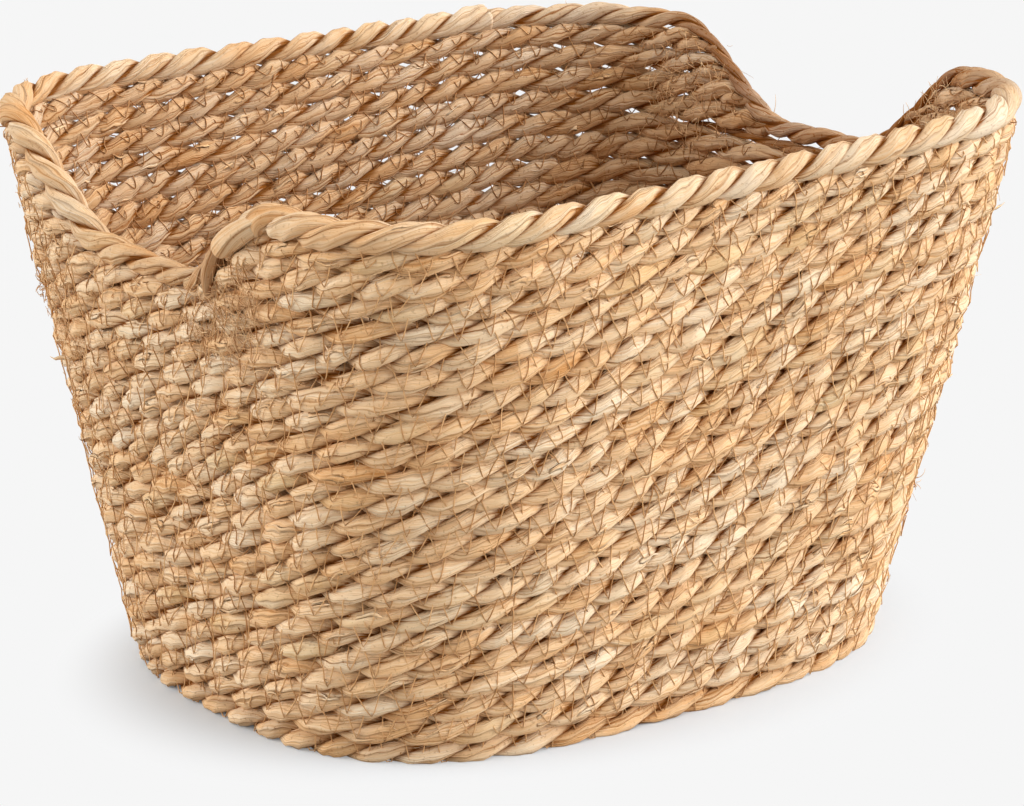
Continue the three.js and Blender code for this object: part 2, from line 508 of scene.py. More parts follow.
    def skin(self, number: int, s: np.ndarray, theta: np.ndarray, swell: np.ndarray) -> np.ndarray:
        """Points on one strand: an offset round the rope's centre, and a softly squared ellipse round that.

        Args:
            number: Which strand.
            s: Lengths along the rope.
            theta: Angles round the strand, 0 at its crest.
            swell: The strand's own thickness at each point, where 1 is the plain ellipse.

        Returns:
            The points.
        """
        centre, _, out, up = self.path.frames(s)
        turned = self.strand_angle(number, s)
        offset, depth, width = self.sizes(number, s)
        cosine, sine = np.cos(theta), np.sin(theta)
        deep = offset + depth * np.sign(cosine) * np.abs(cosine) ** self.squareness * swell
        wide = width * np.sign(sine) * np.abs(sine) ** self.squareness * swell
        outward = deep * np.cos(turned) - wide * np.sin(turned)
        upward = deep * np.sin(turned) + wide * np.cos(turned)
        upward = upward * self.press_share(s, upward)
        points = centre + outward[..., None] * out + upward[..., None] * up
        points[..., 2] = np.maximum(points[..., 2], self.floor_z)
        return points

    def leaf_skin(self, number: int, s: np.ndarray, across: np.ndarray) -> np.ndarray:
        """The thickness of the leaves that wrap a strand.

        A leaf is thick at its free edge and thins towards the next leaf's edge, under which it goes. The
        creases are narrow hollows that wander to and fro over the leaves.

        Args:
            number: Which strand.
            s: Lengths along the rope.
            across: How far round the strand, counted in leaves.

        Returns:
            The strand's thickness, where 1 is the plain ellipse.
        """
        leaf = np.floor(across).astype(int) % self.leaves
        step = np.choose(leaf, [self.at(edge, s) for edge in self.edges[number]])
        swell = 1 + self.edge_step * step * (0.5 - across % 1.0)
        for hollow in self.hollows[number]:
            apart = (across * TURN / self.leaves - self.at(hollow, s) + math.pi) % TURN - math.pi
            swell = swell - self.crease_depth * np.exp(-((apart / self.crease_breadth) ** 2))
        return swell

    def turned_with(self, number: int, s: np.ndarray, across: np.ndarray) -> np.ndarray:
        """The angle round the strand at which a line of its leaves lies.

        The leaves turn against the lay, so that they run nearly along the rope where they show.

        Args:
            number: Which strand.
            s: Lengths along the rope.
            across: How far round the strand, counted in leaves.

        Returns:
            The angle, 0 at the strand's crest.
        """
        return across * TURN / self.leaves + self.at(self.rolls[number], s)

    def strand(self, number: int, stride: float, sides: int) -> tuple[np.ndarray, np.ndarray, np.ndarray]:
        """The surface of one strand, as rings of points, with the grain and the shade of each point.

        Args:
            number: Which strand.
            stride: The length between two rings.
            sides: How many points each leaf has, with two close together at its edges.

        Returns:
            The rings, the grain (along, across the leaves, around) and the shade, from 0 on the crest to 1 in
            the groove, which is painted shade. Thin parts of a rope are browner, and the inside face is browner
            by painted shade.
        """
        s = np.linspace(0.0, self.path.length, max(int(self.path.length / stride), 2) + 1)[:, None]
        share = np.linspace(0, 1, sides)
        column = share + self.edge_crowding * np.sin(TURN * share) / TURN
        breadth = 1 - 2 * self.edge_margin
        across = (np.arange(self.leaves)[:, None] + self.edge_margin + breadth * column).ravel()[None, :]
        swell = self.leaf_skin(number, s, across)
        rings = self.skin(number, s, self.turned_with(number, s, across), swell)
        middle, _, out, _ = self.path.frames(s)
        thickness = self.path.read(self.path.shares, s)
        radius = self.radius * thickness
        reach = np.linalg.norm(rings - middle, axis=-1) / radius
        inward = np.clip(-np.sum((rings - middle) * out, axis=-1) / radius, 0, 1)
        # Painted shade: the colour darkens in the groove between strands and on the inside face. The path's
        # browning is partly the rope's own colour and partly painted shade, and thin parts are browner.
        hollow = np.maximum(self.groove_reach - reach, 0) / self.groove_softness
        stain_and_shade = self.path.read(self.path.stains_and_shade, s) + self.thin_stain * (1 - thickness)
        shade = np.clip(hollow + stain_and_shade + self.inside_painted_shade * smooth(inward * 2), 0, 1)
        return rings, self.grain(number, s, across, across), shade

    def grain(self, number: int, s: np.ndarray, leaf: np.ndarray, across: np.ndarray) -> np.ndarray:
        """The grain of points on a strand, which lies apart from that of every other strand.

        Args:
            number: Which strand.
            s: Lengths along the rope.
            leaf: Which leaf, and how far across it.
            across: How far round the strand, counted in leaves.

        Returns:
            The grain (along, across the leaves, around).
        """
        along = s + number * self.strand_offset + self.seed * self.rope_offset
        return np.stack(np.broadcast_arrays(along, leaf, across * self.leaf_width), axis=-1)

    @property
    def leaf_width(self) -> float:
        """The breadth of one leaf on a strand's skin."""
        return TURN * self.radius * self.leaf_radius_share / self.leaves

    @property
    def once_round(self) -> Triple:
        """By how much the grain grows once round a strand."""
        return (0.0, self.leaves, self.leaves * self.leaf_width)


class Skin:
    """Collects closed tubes into one mesh."""

    def __init__(self) -> None:
        """Starts with no tubes."""
        self.points: list[np.ndarray] = []
        self.quads: list[np.ndarray] = []
        self.triangles: list[np.ndarray] = []
        self.quad_grains: list[np.ndarray] = []
        self.fan_grains: list[np.ndarray] = []
        self.shades: list[np.ndarray] = []
        self.count = 0

    def tubes(
        self,
        rings: np.ndarray,
        grain: np.ndarray,
        shade: np.ndarray | float = 0.0,
        once_round: Triple = (0.0, 0.0, 0.0),
    ) -> None:
        """Adds tubes with closed ends.

        Point k of ring n is joined to the next ring and then to point k + 1. A fan closes each end.

        Args:
            rings: The points, by tube, ring, point round the ring and coordinate.
            grain: The grain of each point (along, across the leaves, around).
            shade: The shade of each point.
            once_round: By how much the grain grows once round a ring.
        """
        tubes, length, sides = rings.shape[:3]
        index = self.count + np.arange(tubes * length * sides).reshape(tubes, length, sides)
        turned = np.roll(index, -1, axis=2)
        quads = np.stack([index[:, :-1], index[:, 1:], turned[:, 1:], turned[:, :-1]], axis=-1)
        fan = np.arange(1, sides - 1)
        for ring, way in ((index[:, 0], 1), (index[:, -1], -1)):
            corners = [np.broadcast_to(ring[:, :1], (tubes, len(fan))), ring[:, fan], ring[:, fan + 1]]
            self.triangles.append(np.stack(corners[::way], axis=-1).reshape(-1, 3))
        grain = np.broadcast_to(grain, rings.shape)
        onward = np.roll(grain, -1, axis=2)
        onward[:, :, -1] += once_round
        at_corners = [grain[:, :-1], grain[:, 1:], onward[:, 1:], onward[:, :-1]]
        self.quad_grains.append(np.stack(at_corners, axis=-2).reshape(-1, 3))
        self.fan_grains.append(np.repeat(grain[:, [0, -1], 0].reshape(-1, 3), 3 * len(fan), axis=0))
        self.points.append(rings.reshape(-1, 3))
        self.quads.append(quads.reshape(-1, 4))
        self.shades.append(np.broadcast_to(shade, rings.shape[:3]).reshape(-1))
        self.count += tubes * length * sides

    def fibres(self, rings: np.ndarray, tones: np.ndarray) -> None:
        """Adds threads or fibres, each of one tone."""
        self.tubes(rings, tones[:, None, None, None])

    def mesh(self, name: str) -> bpy.types.Object:
        """Makes the mesh and its object.

        Args:
            name: The piece's name.

        Returns:
            The object, at the origin.
        """
        points = np.concatenate(self.points).astype(np.float32)
        quads, triangles = np.concatenate(self.quads), np.concatenate(self.triangles)
        mesh = bpy.data.meshes.new(name)
        mesh.vertices.add(len(points))
        mesh.vertices.foreach_set("co", points.ravel())
        corners = np.concatenate([quads.ravel(), triangles.ravel()]).astype(np.int32)
        mesh.loops.add(len(corners))
        mesh.loops.foreach_set("vertex_index", corners)
        starts = np.concatenate([np.arange(len(quads)) * 4, quads.size + np.arange(len(triangles)) * 3])
        mesh.polygons.add(len(starts))
        mesh.polygons.foreach_set("loop_start", starts.astype(np.int32))
        grain = mesh.attributes.new("grain", "FLOAT_VECTOR", "CORNER")
        grains = np.concatenate(self.quad_grains + self.fan_grains).astype(np.float32)
        grain.data.foreach_set("vector", grains.ravel())
        shade = mesh.attributes.new("shade", "FLOAT", "POINT")
        shade.data.foreach_set("value", np.concatenate(self.shades).astype(np.float32))
        mesh.update(calc_edges=True)
        mesh.shade_smooth()
        made = bpy.data.objects.new(name, mesh)
        bpy.context.scene.collection.objects.link(made)
        return made


def round_tubes(centres: np.ndarray, radii: np.ndarray, sides: int, around: np.ndarray) -> np.ndarray:
    """Rings of round tubes: each ring is a circle square to the way from the point before to the point after.

    Args:
        centres: The points of each tube's middle line, by tube and point.
        radii: The radius at each point.
        sides: How many points a ring has.
        around: A direction that no tube runs along, by tube and point, from which the ring's angle is counted.

    Returns:
        The rings.
    """
    along = unit(np.gradient(centres, axis=1))
    across = unit(np.cross(along, around))
    third = np.cross(across, along)
    angle = np.arange(sides) * TURN / sides
    circle = np.cos(angle)[:, None] * across[:, :, None] + np.sin(angle)[:, None] * third[:, :, None]
    return centres[:, :, None] + radii[:, :, None, None] * circle


@dataclass
class Seam:
    """A sewn seam between two neighbouring ropes, with a row of stitches on each face.

    A stitch's place, half length and slant are shares of the period, and its lift and dive are thread radii.
    """

    lower: Rope
    upper: Rope
    first_angle: float
    last_angle: float
    shift: float
    seed: int
    upper_share: float = 1.0
    period: float = 0.0116
    points: int = 9
    place_spread: float = 0.09
    half_share: float = 0.42
    half_spread: float = 0.05
    slant_spread: float = 0.12
    thread_radius: float = 0.00033
    thread_sides: int = 3
    outside_reach: Pair = (-0.14, 1.1)
    inside_reach: Pair = (0.05, 0.86)
    reach_spread: float = 0.1
    outside_roundness: float = 0.12
    inside_roundness: float = 0.3
    skin_share: float = 1.03
    lift: float = 1.5
    dive: float = 3.0
    sag: float = 0.0002
    sag_spread: float = 0.6
    apart_share: float = 1.3
    missing_share: float = 0.05

    def stitches(self, face: Face) -> tuple[np.ndarray, np.ndarray]:
        """The stitches: each comes down over the lower row and goes up again beside it.

        A stitch is a hyperbola: its height goes with the root of t^2 + e^2, where t runs from -1 to 1 along
        the rows and e is its roundness. It lies on the strands, spans the valley between the rows with a
        little sag, and goes in at both ends. None is made where the two ropes are apart.

        Args:
            face: The face of the fabric.

        Returns:
            The rings of each stitch, and its tone.
        """
        rng = np.random.default_rng((self.seed, face.value + 1))
        outside = face is Face.OUTSIDE
        lowest, highest = self.outside_reach if outside else self.inside_reach
        roundness = self.outside_roundness if outside else self.inside_roundness
        start, end = self.lower.path.length_at(np.array([self.first_angle, self.last_angle]))
        count = max(int((end - start) / self.period), 1)
        wanted = np.arange(count) + rng.uniform(0, 1) + self.place_spread * rng.standard_normal(count)
        middle = start + wanted * self.period
        t = np.linspace(-1, 1, self.points)
        bowed = (np.hypot(t, roundness) - roundness) / (math.hypot(1, roundness) - roundness)
        low = lowest + self.reach_spread * rng.standard_normal((count, 1))
        arms = highest * self.upper_share + self.reach_spread * rng.standard_normal((count, 2))
        climb = low + (arms[:, (t > 0).astype(int)] - low) * bowed
        half = self.period * (self.half_share + self.half_spread * rng.standard_normal((count, 1)))
        slant = self.period * self.slant_spread * rng.standard_normal((count, 1))
        low_s = middle[:, None] + half * t + slant * bowed
        high_s = self.upper.path.length_at(self.lower.path.angle_at(low_s) + self.shift)
        low_point, _, low_out, _ = self.lower.path.frames(low_s)
        high_point, _, high_out, _ = self.upper.path.frames(high_s)
        out = unit(low_out + high_out) * face.value
        apart = np.linalg.norm(high_point - low_point, axis=-1)
        low_skin = self.lower.face_height(low_s, climb * apart, face)
        high_skin = self.upper.face_height(high_s, (climb - 1) * apart, face)
        skin = np.where(climb < 0.5, low_skin, high_skin) * self.skin_share
        arm = np.abs(t) / t[-2]
        top = skin[:, np.where(t > 0, len(t) - 2, 1)]
        sag = np.maximum(self.sag * (1 + self.sag_spread * rng.standard_normal((count, 1))), 0)
        chord = skin[:, [len(t) // 2]] * (1 - arm) + top * arm - 4 * sag * arm * (1 - arm)
        height = np.maximum(skin, chord) + self.lift * self.thread_radius
        height[:, [0, -1]] = skin[:, [0, -1]] - self.dive * self.thread_radius
        centres = low_point + climb[..., None] * (high_point - low_point) + height[..., None] * out
        centres[..., 2] = np.maximum(centres[..., 2], 2 * self.thread_radius)
        together = apart.max(axis=1) < self.apart_share * (self.lower.radius + self.upper.radius)
        kept = together & (rng.uniform(0, 1, count) > self.missing_share)
        radii = np.full(centres.shape[:2], self.thread_radius)
        return round_tubes(centres, radii, self.thread_sides, out)[kept], rng.uniform(0, 1, count)[kept]


@dataclass(frozen=True)
class Fray:
    """A place on the wall where fibres are tangled or stand off. The angle and its spread are in degrees."""

    angle: float
    height: float
    angle_spread: float
    height_spread: float
    count: int
    length: Pair
    stand: float
    inside: bool = False
    below_rim: float = 0.006


@dataclass
class LooseEnds:
    """Leaf ends and fibres that stand off the ropes.

    Most pairs of numbers are the least and the most. A lift and a lean are drawn from a gamma distribution,
    whose shape and scale they give.
    """

    seed: int = 71
    leaf_thickness: float = 0.0002
    flap_rings: int = 7
    flap_tries: int = 8
    flap_margin: float = 0.012
    flap_middle: float = 0.0035
    flap_facing: float = 0.3
    flap_length: Pair = (0.006, 0.013)
    flap_half_width: Pair = (0.04, 0.12)
    flap_lift: Pair = (1.6, 0.0005)
    flap_shift: float = 0.4
    flap_bluntness: float = 0.05
    flap_tone_place: Pair = (0.3, 0.2)
    fibre_rings: int = 5
    fibre_sides: int = 3
    fibre_length: Pair = (0.002, 0.007)
    fibre_radius: float = 0.00015
    fibre_taper: float = 0.6
    fibre_root: float = 0.8
    fibre_turn: float = 1.3
    fibre_lean: Pair = (2.0, 0.3)
    fibre_spread: float = 0.35
    fibre_bend: float = 0.5
    fibre_sag: float = 0.15
    fibre_aside: float = 0.3
    fray_rings: int = 6
    fray_radius: float = 0.00021
    fray_taper: float = 0.5
    fray_depth: Pair = (0.0048, 0.0078)
    fray_lean: Pair = (2.0, 0.5)
    fray_curl: float = 0.3
    fray_settling: float = 0.3
    fray_aside: float = 0.5

    def flaps(self, rope: Rope, count: int, inner_share: float) -> tuple[np.ndarray, np.ndarray]:
        """Ends of leaf that have come away from a rope's strands.

        A flap follows its strand and lifts with the square of the way to its free end. Its section is a thin
        diamond.

        Args:
            rope: The rope.
            count: How many there are.
            inner_share: The share of them on the inside face.

        Returns:
            The rings and the grain.
        """
        rng = np.random.default_rng((self.seed, rope.seed))
        share = np.linspace(0, 1, self.flap_rings)
        all_rings, all_grains = [], []
        for number in range(rope.strands):
            tries = rng.uniform(0.0, rope.path.length - self.flap_margin, self.flap_tries * count)
            way = np.where(rng.uniform(0, 1, len(tries)) < inner_share, -1, 1)
            facing = np.cos(rope.strand_angle(number, tries + self.flap_middle)) * way
            first = tries[facing > self.flap_facing][: count // rope.strands, None]
            amount = len(first)
            length = rng.uniform(*self.flap_length, (amount, 1))
            s = first + length * share
            to_end = np.where(rng.uniform(0, 1, (amount, 1)) < 0.5, share, 1 - share)
            lift = rng.gamma(*self.flap_lift, (amount, 1)) * to_end**2
            half = rng.uniform(*self.flap_half_width, (amount, 1)) * (1 + self.flap_bluntness - to_end**2)
            crest = -rope.at(rope.rolls[number], first + length / 2) * rope.leaves / TURN
            shift, turn = (rng.uniform(-self.flap_shift, self.flap_shift, (amount, 1)) for _ in range(2))
            middle = crest + shift + turn * to_end**2
            across = middle[..., None] + half[..., None] * np.array([0, 1, 0, -1])
            thick = self.leaf_thickness / 2 / (rope.radius * rope.depth_share)
            raised = 2 * thick + lift / (rope.radius * rope.depth_share)
            long = s[..., None]
            under = rope.leaf_skin(number, long, across).max(axis=2, keepdims=True)
            swell = under + raised[..., None] + thick * np.array([1, 0, -1, 0])
            all_rings.append(rope.skin(number, long, rope.turned_with(number, long, across), swell))
            on_leaf, spread = self.flap_tone_place
            leaf = np.floor(middle[..., None]) + on_leaf + spread * np.array([0, 1, 0, -1])
            all_grains.append(rope.grain(number, long, leaf, across))
        return np.concatenate(all_rings), np.concatenate(all_grains)

    def bent(
        self, root: np.ndarray, way: np.ndarray, bend: np.ndarray, aside: np.ndarray, radii: np.ndarray
    ) -> np.ndarray:
        """Rings of fibres, each along a parabola: the root, plus the way by t and the bend by t squared.

        The parameter t runs from 0 at the root to 1 at the end. No fibre goes under the ground.

        Args:
            root: Where each fibre starts.
            way: Its first direction, times its length.
            bend: Its bend, times its length.
            aside: A direction that it doesn't run along.
            radii: The radius along a fibre, from its root to its end.

        Returns:
            The rings.
        """
        t = np.linspace(0, 1, len(radii))[:, None]
        centres = root[:, None] + (t * way[:, None] + t**2 * bend[:, None])
        centres[..., 2] = np.maximum(centres[..., 2], 2 * radii[0])
        every = np.broadcast_to(radii, centres.shape[:2])
        return round_tubes(centres, every, self.fibre_sides, np.broadcast_to(aside[:, None], centres.shape))

    def fibres(self, rope: Rope, s: np.ndarray, inner_share: float) -> tuple[np.ndarray, np.ndarray]:
        """Thin fibres that start on a rope and bend away from it.

        Args:
            rope: The rope.
            s: Where they start, as lengths along it.
            inner_share: The share of them on the inside face.

        Returns:
            The rings, and the tone of each fibre.
        """
        count = len(s)
        rng = np.random.default_rng((self.seed, rope.seed, count))
        centre, along, out, up = rope.path.frames(s)
        face = np.where(rng.uniform(0, 1, (count, 1)) < inner_share, -1.0, 1.0)
        turned = rng.uniform(-self.fibre_turn, self.fibre_turn, (count, 1))
        side = np.cos(turned) * out * face + np.sin(turned) * up
        root = centre + side * rope.radius * self.fibre_root
        ahead = unit(along * rng.choice([-1, 1], (count, 1)) + side * rng.gamma(*self.fibre_lean, (count, 1)))
        ahead = unit(ahead + self.fibre_spread * rng.standard_normal((count, 3)))
        bend = self.fibre_bend * rng.standard_normal((count, 3)) - np.array([0.0, 0.0, self.fibre_sag])
        reach = rng.uniform(*self.fibre_length, (count, 1))
        radii = self.fibre_radius * (1 - self.fibre_taper * np.linspace(0, 1, self.fibre_rings))
        aside = unit(np.cross(ahead, side + self.fibre_aside * up))
        return self.bent(root, reach * ahead, reach * bend, aside, radii), rng.uniform(0, 1, count)

    def frayed(self, form: Form, fray: Fray) -> tuple[np.ndarray, np.ndarray]:
        """Fibres tangled over the ropes of one place, which start near the ropes' faces.

        Args:
            form: The basket's sizes.
            fray: The place, the number of fibres and how they stand.

        Returns:
            The rings, and the tone of each fibre.
        """
        count = fray.count
        rng = np.random.default_rng((self.seed, int(fray.angle * 10), count))
        angle = np.radians(fray.angle + fray.angle_spread * rng.standard_normal(count))
        z = fray.height + fray.height_spread * rng.standard_normal(count)
        root = form.on_wall(angle, z)
        beside = 0.002
        along = unit(form.on_wall(angle + beside, z) - root)
        up = unit(form.on_wall(angle, z + beside) - root)
        out = unit(np.cross(along, up)) * (-1 if fray.inside else 1)
        turned = rng.uniform(0, TURN, (count, 1))
        ahead = np.cos(turned) * along + np.sin(turned) * up
        stand = fray.stand * rng.gamma(*self.fray_lean, (count, 1))
        curl = self.fray_curl * rng.standard_normal((count, 1)) * (np.cos(turned) * up - np.sin(turned) * along)
        bend = curl - self.fray_settling * stand * out
        reach = rng.uniform(*fray.length, (count, 1))
        start = root + rng.uniform(*self.fray_depth, (count, 1)) * out
        way = unit(ahead + stand * out)
        radii = self.fray_radius * (1 - self.fray_taper * np.linspace(0, 1, self.fray_rings))
        aside = unit(np.cross(way, out) + self.fray_aside * out)
        rings = self.bent(start, reach * way, reach * bend, aside, radii)
        kept = root[:, 2] < form.on_rim(angle)[:, 2] - fray.below_rim
        return rings[kept], rng.uniform(0, 1, count)[kept]


class Wire:
    """A socket of a material's nodes. Sums on it add Math nodes."""

    def __init__(self, bench: "Bench", socket: bpy.types.NodeSocket) -> None:
        """Keeps the socket and the bench that adds nodes to it."""
        self.bench, self.socket = bench, socket

    def __add__(self, other: "Wire | float") -> "Wire":
        """The sum."""
        return self.bench.math("ADD", self, other)

    def __sub__(self, other: "Wire | float") -> "Wire":
        """The difference."""
        return self.bench.math("SUBTRACT", self, other)

    def __rsub__(self, other: float) -> "Wire":
        """A number less this."""
        return self.bench.math("SUBTRACT", other, self)

    def __mul__(self, other: "Wire | float") -> "Wire":
        """The product."""
        return self.bench.math("MULTIPLY", self, other)

    __radd__ = __add__
    __rmul__ = __mul__


class Bench:
    """Where the nodes of a material, or of the world, are made and joined."""

    def __init__(self, owner: bpy.types.Material | bpy.types.World) -> None:
        """Starts with no nodes.

        Args:
            owner: The material or the world.
        """
        owner.use_nodes = True
        self.owner, self.tree = owner, owner.node_tree
        self.tree.nodes.clear()

    def node(self, kind: str, settings: dict[str, object], **inputs: object) -> bpy.types.Node:
        """Adds one node.

        Args:
            kind: The node's type.
            settings: The node's own settings, which are set first. A list of stops goes to its ramp.
            **inputs: A value or a wire for each socket. An underscore stands for a space, and _0 for a number.

        Returns:
            The node.
        """
        made = self.tree.nodes.new(kind)
        for key, value in settings.items():
            if key == "stops":
                ramp = made.color_ramp
                while len(ramp.elements) < len(value):
                    ramp.elements.new(0.5)
                for element, (place, colour) in zip(ramp.elements, value):
                    element.position, element.color = place, colour
            else:
                setattr(made, key, value)
        for key, value in inputs.items():
            socket = made.inputs[int(key[1:])] if key[1:].isdigit() else made.inputs[key.replace("_", " ")]
            if isinstance(value, Wire):
                self.tree.links.new(value.socket, socket)
            else:
                socket.default_value = value
        return made

    def out(self, node: bpy.types.Node, name: str | int = 0) -> Wire:
        """A node's output as a wire."""
        return Wire(self, node.outputs[name])

    def math(self, operation: str, first: Wire | float, second: Wire | float = 0.0) -> Wire:
        """The result of a Math node on one or two values."""
        return self.out(self.node("ShaderNodeMath", {"operation": operation}, _0=first, _1=second))

    def held(self, value: Wire) -> Wire:
        """The value, kept between 0 and 1."""
        return self.out(self.node("ShaderNodeClamp", {}, Value=value))

    def share_past(self, value: Wire, start: float, slope: float) -> Wire:
        """How far a value is past a start, from 0 there to 1. With a negative slope it counts downwards."""
        return self.held((value - start) * slope)

    def mix(self, share: Wire | float, first: object, second: object) -> Wire:
        """A colour between two.

        Args:
            share: How much of the second colour there is.
            first: A colour or a wire.
            second: A colour or a wire.

        Returns:
            The mixed colour.
        """
        made = self.node("ShaderNodeMix", {"data_type": "RGBA"}, _0=share, _6=first, _7=second)
        return self.out(made, 2)

    def noise(self, place: Wire, scale: float, detail: float) -> Wire:
        """A noise between 0 and 1 at a place."""
        return self.out(self.node("ShaderNodeTexNoise", {}, Vector=place, Scale=scale, Detail=detail), "Fac")

    def drift(self, along: Wire, waves: float, row: float) -> Wire:
        """A noise that changes only along a rope. Another row gives another noise."""
        return self.noise(self.vector(along * waves, row, 0.5), 1.0, 1.0)

    def vector(self, x: Wire | float, y: Wire | float, z: Wire | float) -> Wire:
        """Three numbers as one vector."""
        return self.out(self.node("ShaderNodeCombineXYZ", {}, X=x, Y=y, Z=z))

    def parts(self, vector: Wire) -> list[Wire]:
        """The three numbers of a vector."""
        made = self.node("ShaderNodeSeparateXYZ", {}, Vector=vector)
        return [self.out(made, index) for index in range(3)]

    def attribute(self, name: str, output: str) -> Wire:
        """What the mesh has stored under a name."""
        return self.out(self.node("ShaderNodeAttribute", {"attribute_name": name}), output)

    def place(self) -> Wire:
        """The place in the object's own coordinates."""
        return self.out(self.node("ShaderNodeTexCoord", {}), "Object")

    def finish(self, shader: bpy.types.Node) -> bpy.types.Material:
        """Joins the shader to the material's output and gives the material."""
        self.node("ShaderNodeOutputMaterial", {}, Surface=self.out(shader))
        return self.owner


@dataclass(frozen=True)
class Streak:
    """A noise drawn out along a leaf.

    It has its waves a metre along and around, a step from one leaf to the next, its detail, and its weights in
    the tone and in the relief.
    """

    along: float
    around: float
    leaf_step: float
    detail: float
    weight: float
    relief: float

    def noise(self, bench: Bench, along: Wire, around: Wire, leaf: Wire) -> Wire:
        """The noise at a place on a leaf."""
        place = bench.vector(along * self.along, around * self.around, leaf * self.leaf_step)
        return bench.noise(place, 1.0, self.detail)


@dataclass(frozen=True)
class Mark:
    """A mark on a leaf where a value is past a start: how sharply it begins, and how strong it is."""

    start: float
    slope: float
    strength: float

    def where(self, bench: Bench, value: Wire) -> Wire:
        """How strong the mark is at each value."""
        return bench.share_past(value, self.start, self.slope) * self.strength


@dataclass(frozen=True)
class LeafFinish:
    """Dry rush leaf: a palette from brown to cream, ribs along the grain, and painted shade in the grooves.

    The tone is a sum of noises about their middle, each by its own weight. A drift gives the waves a metre of a
    noise along the rope and its row. A blotch, a cloud and a speck give the scale and detail of a noise in space.
    """

    name: str
    brown: Colour = (206, 147, 88)
    tan: Colour = (231, 188, 140)
    pale: Colour = (237, 206, 168)
    cream: Colour = (240, 221, 194)
    olive: Colour = (212, 184, 130)
    # The brown that the painted shade in the grooves, on the inside face and under tucked leaf edges mixes in, as
    # do the real dark lines and specks.
    groove: Colour = (138, 80, 24)
    tone_places: tuple[float, ...] = (0.0, 0.34, 0.68, 1.0)
    middle_tone: float = 0.6
    paler_right: float = 0.0
    strand_drift: Pair = (22.0, 0.5)
    strand_weight: float = 1.21
    leaf_pieces: float = 16.0
    leaf_weight: float = 0.2475
    slant: float = 0.03
    broad: Streak = Streak(16.0, 520.0, 3.7, 2.0, 0.3, 0.35)
    rib: Streak = Streak(9.0, 1150.0, 5.3, 1.0, 0.7, 0.7)
    fine: Streak = Streak(20.0, 2300.0, 7.9, 2.0, 0.8, 0.5)
    line_contrast: float = 1.0
    blotch: Pair = (110.0, 3.0)
    blotch_weight: float = 0.35
    cloud: Pair = (16.0, 2.0)
    cloud_weight: float = 0.3
    speck: Pair = (640.0, 1.0)
    rib_mark: Mark = Mark(0.4, -8.0, 0.38)
    line_mark: Mark = Mark(0.42, -6.0, 0.36)
    speck_mark: Mark = Mark(0.62, 9.0, 0.3)
    # Painted shade along the edge where a leaf goes under the next, and the strength of the painted groove shade.
    tucked_shade_mark: Mark = Mark(0.88, 9.0, 0.45)
    groove_shade_strength: float = 0.95
    green_drift: Pair = (13.0, 7.5)
    green_mark: Mark = Mark(0.56, 5.0, 0.35)
    edge_relief: float = 0.5
    bump_height: float = 0.001
    roughness: float = 0.7
    pale_gloss: float = 0.18
    line_roughness: float = 0.25
    specular: float = 0.05

    def tone(self, bench: Bench, noises: list[tuple[Wire, float]]) -> Wire:
        """The sum of the noises about their middle, by their weights.

        Args:
            bench: Where the nodes are made.
            noises: Each noise and its weight.

        Returns:
            The tone, about 0 for brown and 1 for cream.
        """
        tone = sum(((noise - 0.5) * weight for noise, weight in noises), self.middle_tone)
        if self.paler_right:
            tone = tone + bench.parts(bench.place())[0] * self.paler_right
        return tone

    def material(self) -> bpy.types.Material:
        """Makes the material from the grain (along, across the leaves, around), the shade and the place.

        The whole part of the second grain number says which leaf it is, and the rest how far across that leaf
        a point lies, from its free edge to where it goes under the next.

        Returns:
            The material.
        """
        bench = Bench(bpy.data.materials.new(self.name))
        along, leaves, around = bench.parts(bench.attribute("grain", "Vector"))
        place = bench.place()
        leaf = bench.math("FLOOR", leaves)
        across = leaves - leaf
        piece = bench.math("FLOOR", along * self.leaf_pieces)
        chance = bench.node("ShaderNodeTexWhiteNoise", {}, Vector=bench.vector(leaf, piece, 0.5))
        slanted = around + along * self.slant
        streaks = (self.broad, self.rib, self.fine)
        broad, rib, fine = (streak.noise(bench, along, slanted, leaf) for streak in streaks)
        tone = self.tone(
            bench,
            [
                (bench.drift(along, *self.strand_drift), self.strand_weight),
                (bench.out(chance, "Value"), self.leaf_weight),
                (broad, self.broad.weight),
                (rib, self.rib.weight * self.line_contrast),
                (fine, self.fine.weight * self.line_contrast),
                (bench.noise(place, *self.blotch), self.blotch_weight),
                (bench.noise(place, *self.cloud), self.cloud_weight),
            ],
        )
        palette = [linear(*colour) for colour in (self.brown, self.tan, self.pale, self.cream)]
        stops = {"stops": list(zip(self.tone_places, palette))}
        ramp = bench.node("ShaderNodeValToRGB", stops, Fac=bench.held(tone))
        marks = self.rib_mark.where(bench, rib) + self.line_mark.where(bench, fine)
        marks = marks + self.speck_mark.where(bench, bench.noise(place, *self.speck))
        # Painted shade: the shade attribute and the tucked leaf edges darken the colour towards the groove brown,
        # together with the real dark lines and specks.
        deep = bench.attribute("shade", "Fac") * self.groove_shade_strength + self.tucked_shade_mark.where(bench, across)
        deep = bench.held(deep + marks * self.line_contrast)
        green = self.green_mark.where(bench, bench.drift(along, *self.green_drift))
        dry = bench.mix(green, bench.out(ramp), linear(*self.olive))
        relief = broad * self.broad.relief + rib * self.rib.relief + fine * self.fine.relief
        relief = relief - across * self.edge_relief
        bump = bench.node("ShaderNodeBump", {}, Strength=1.0, Distance=self.bump_height, Height=relief)
        shader = bench.node(
            "ShaderNodeBsdfPrincipled",
            {},
            Base_Color=bench.mix(deep, dry, linear(*self.groove)),
            Roughness=self.roughness - bench.held(tone) * self.pale_gloss + (fine - 0.5) * self.line_roughness,
            Normal=bench.out(bump),
            Specular_IOR_Level=self.specular,
        )
        return bench.finish(shader)


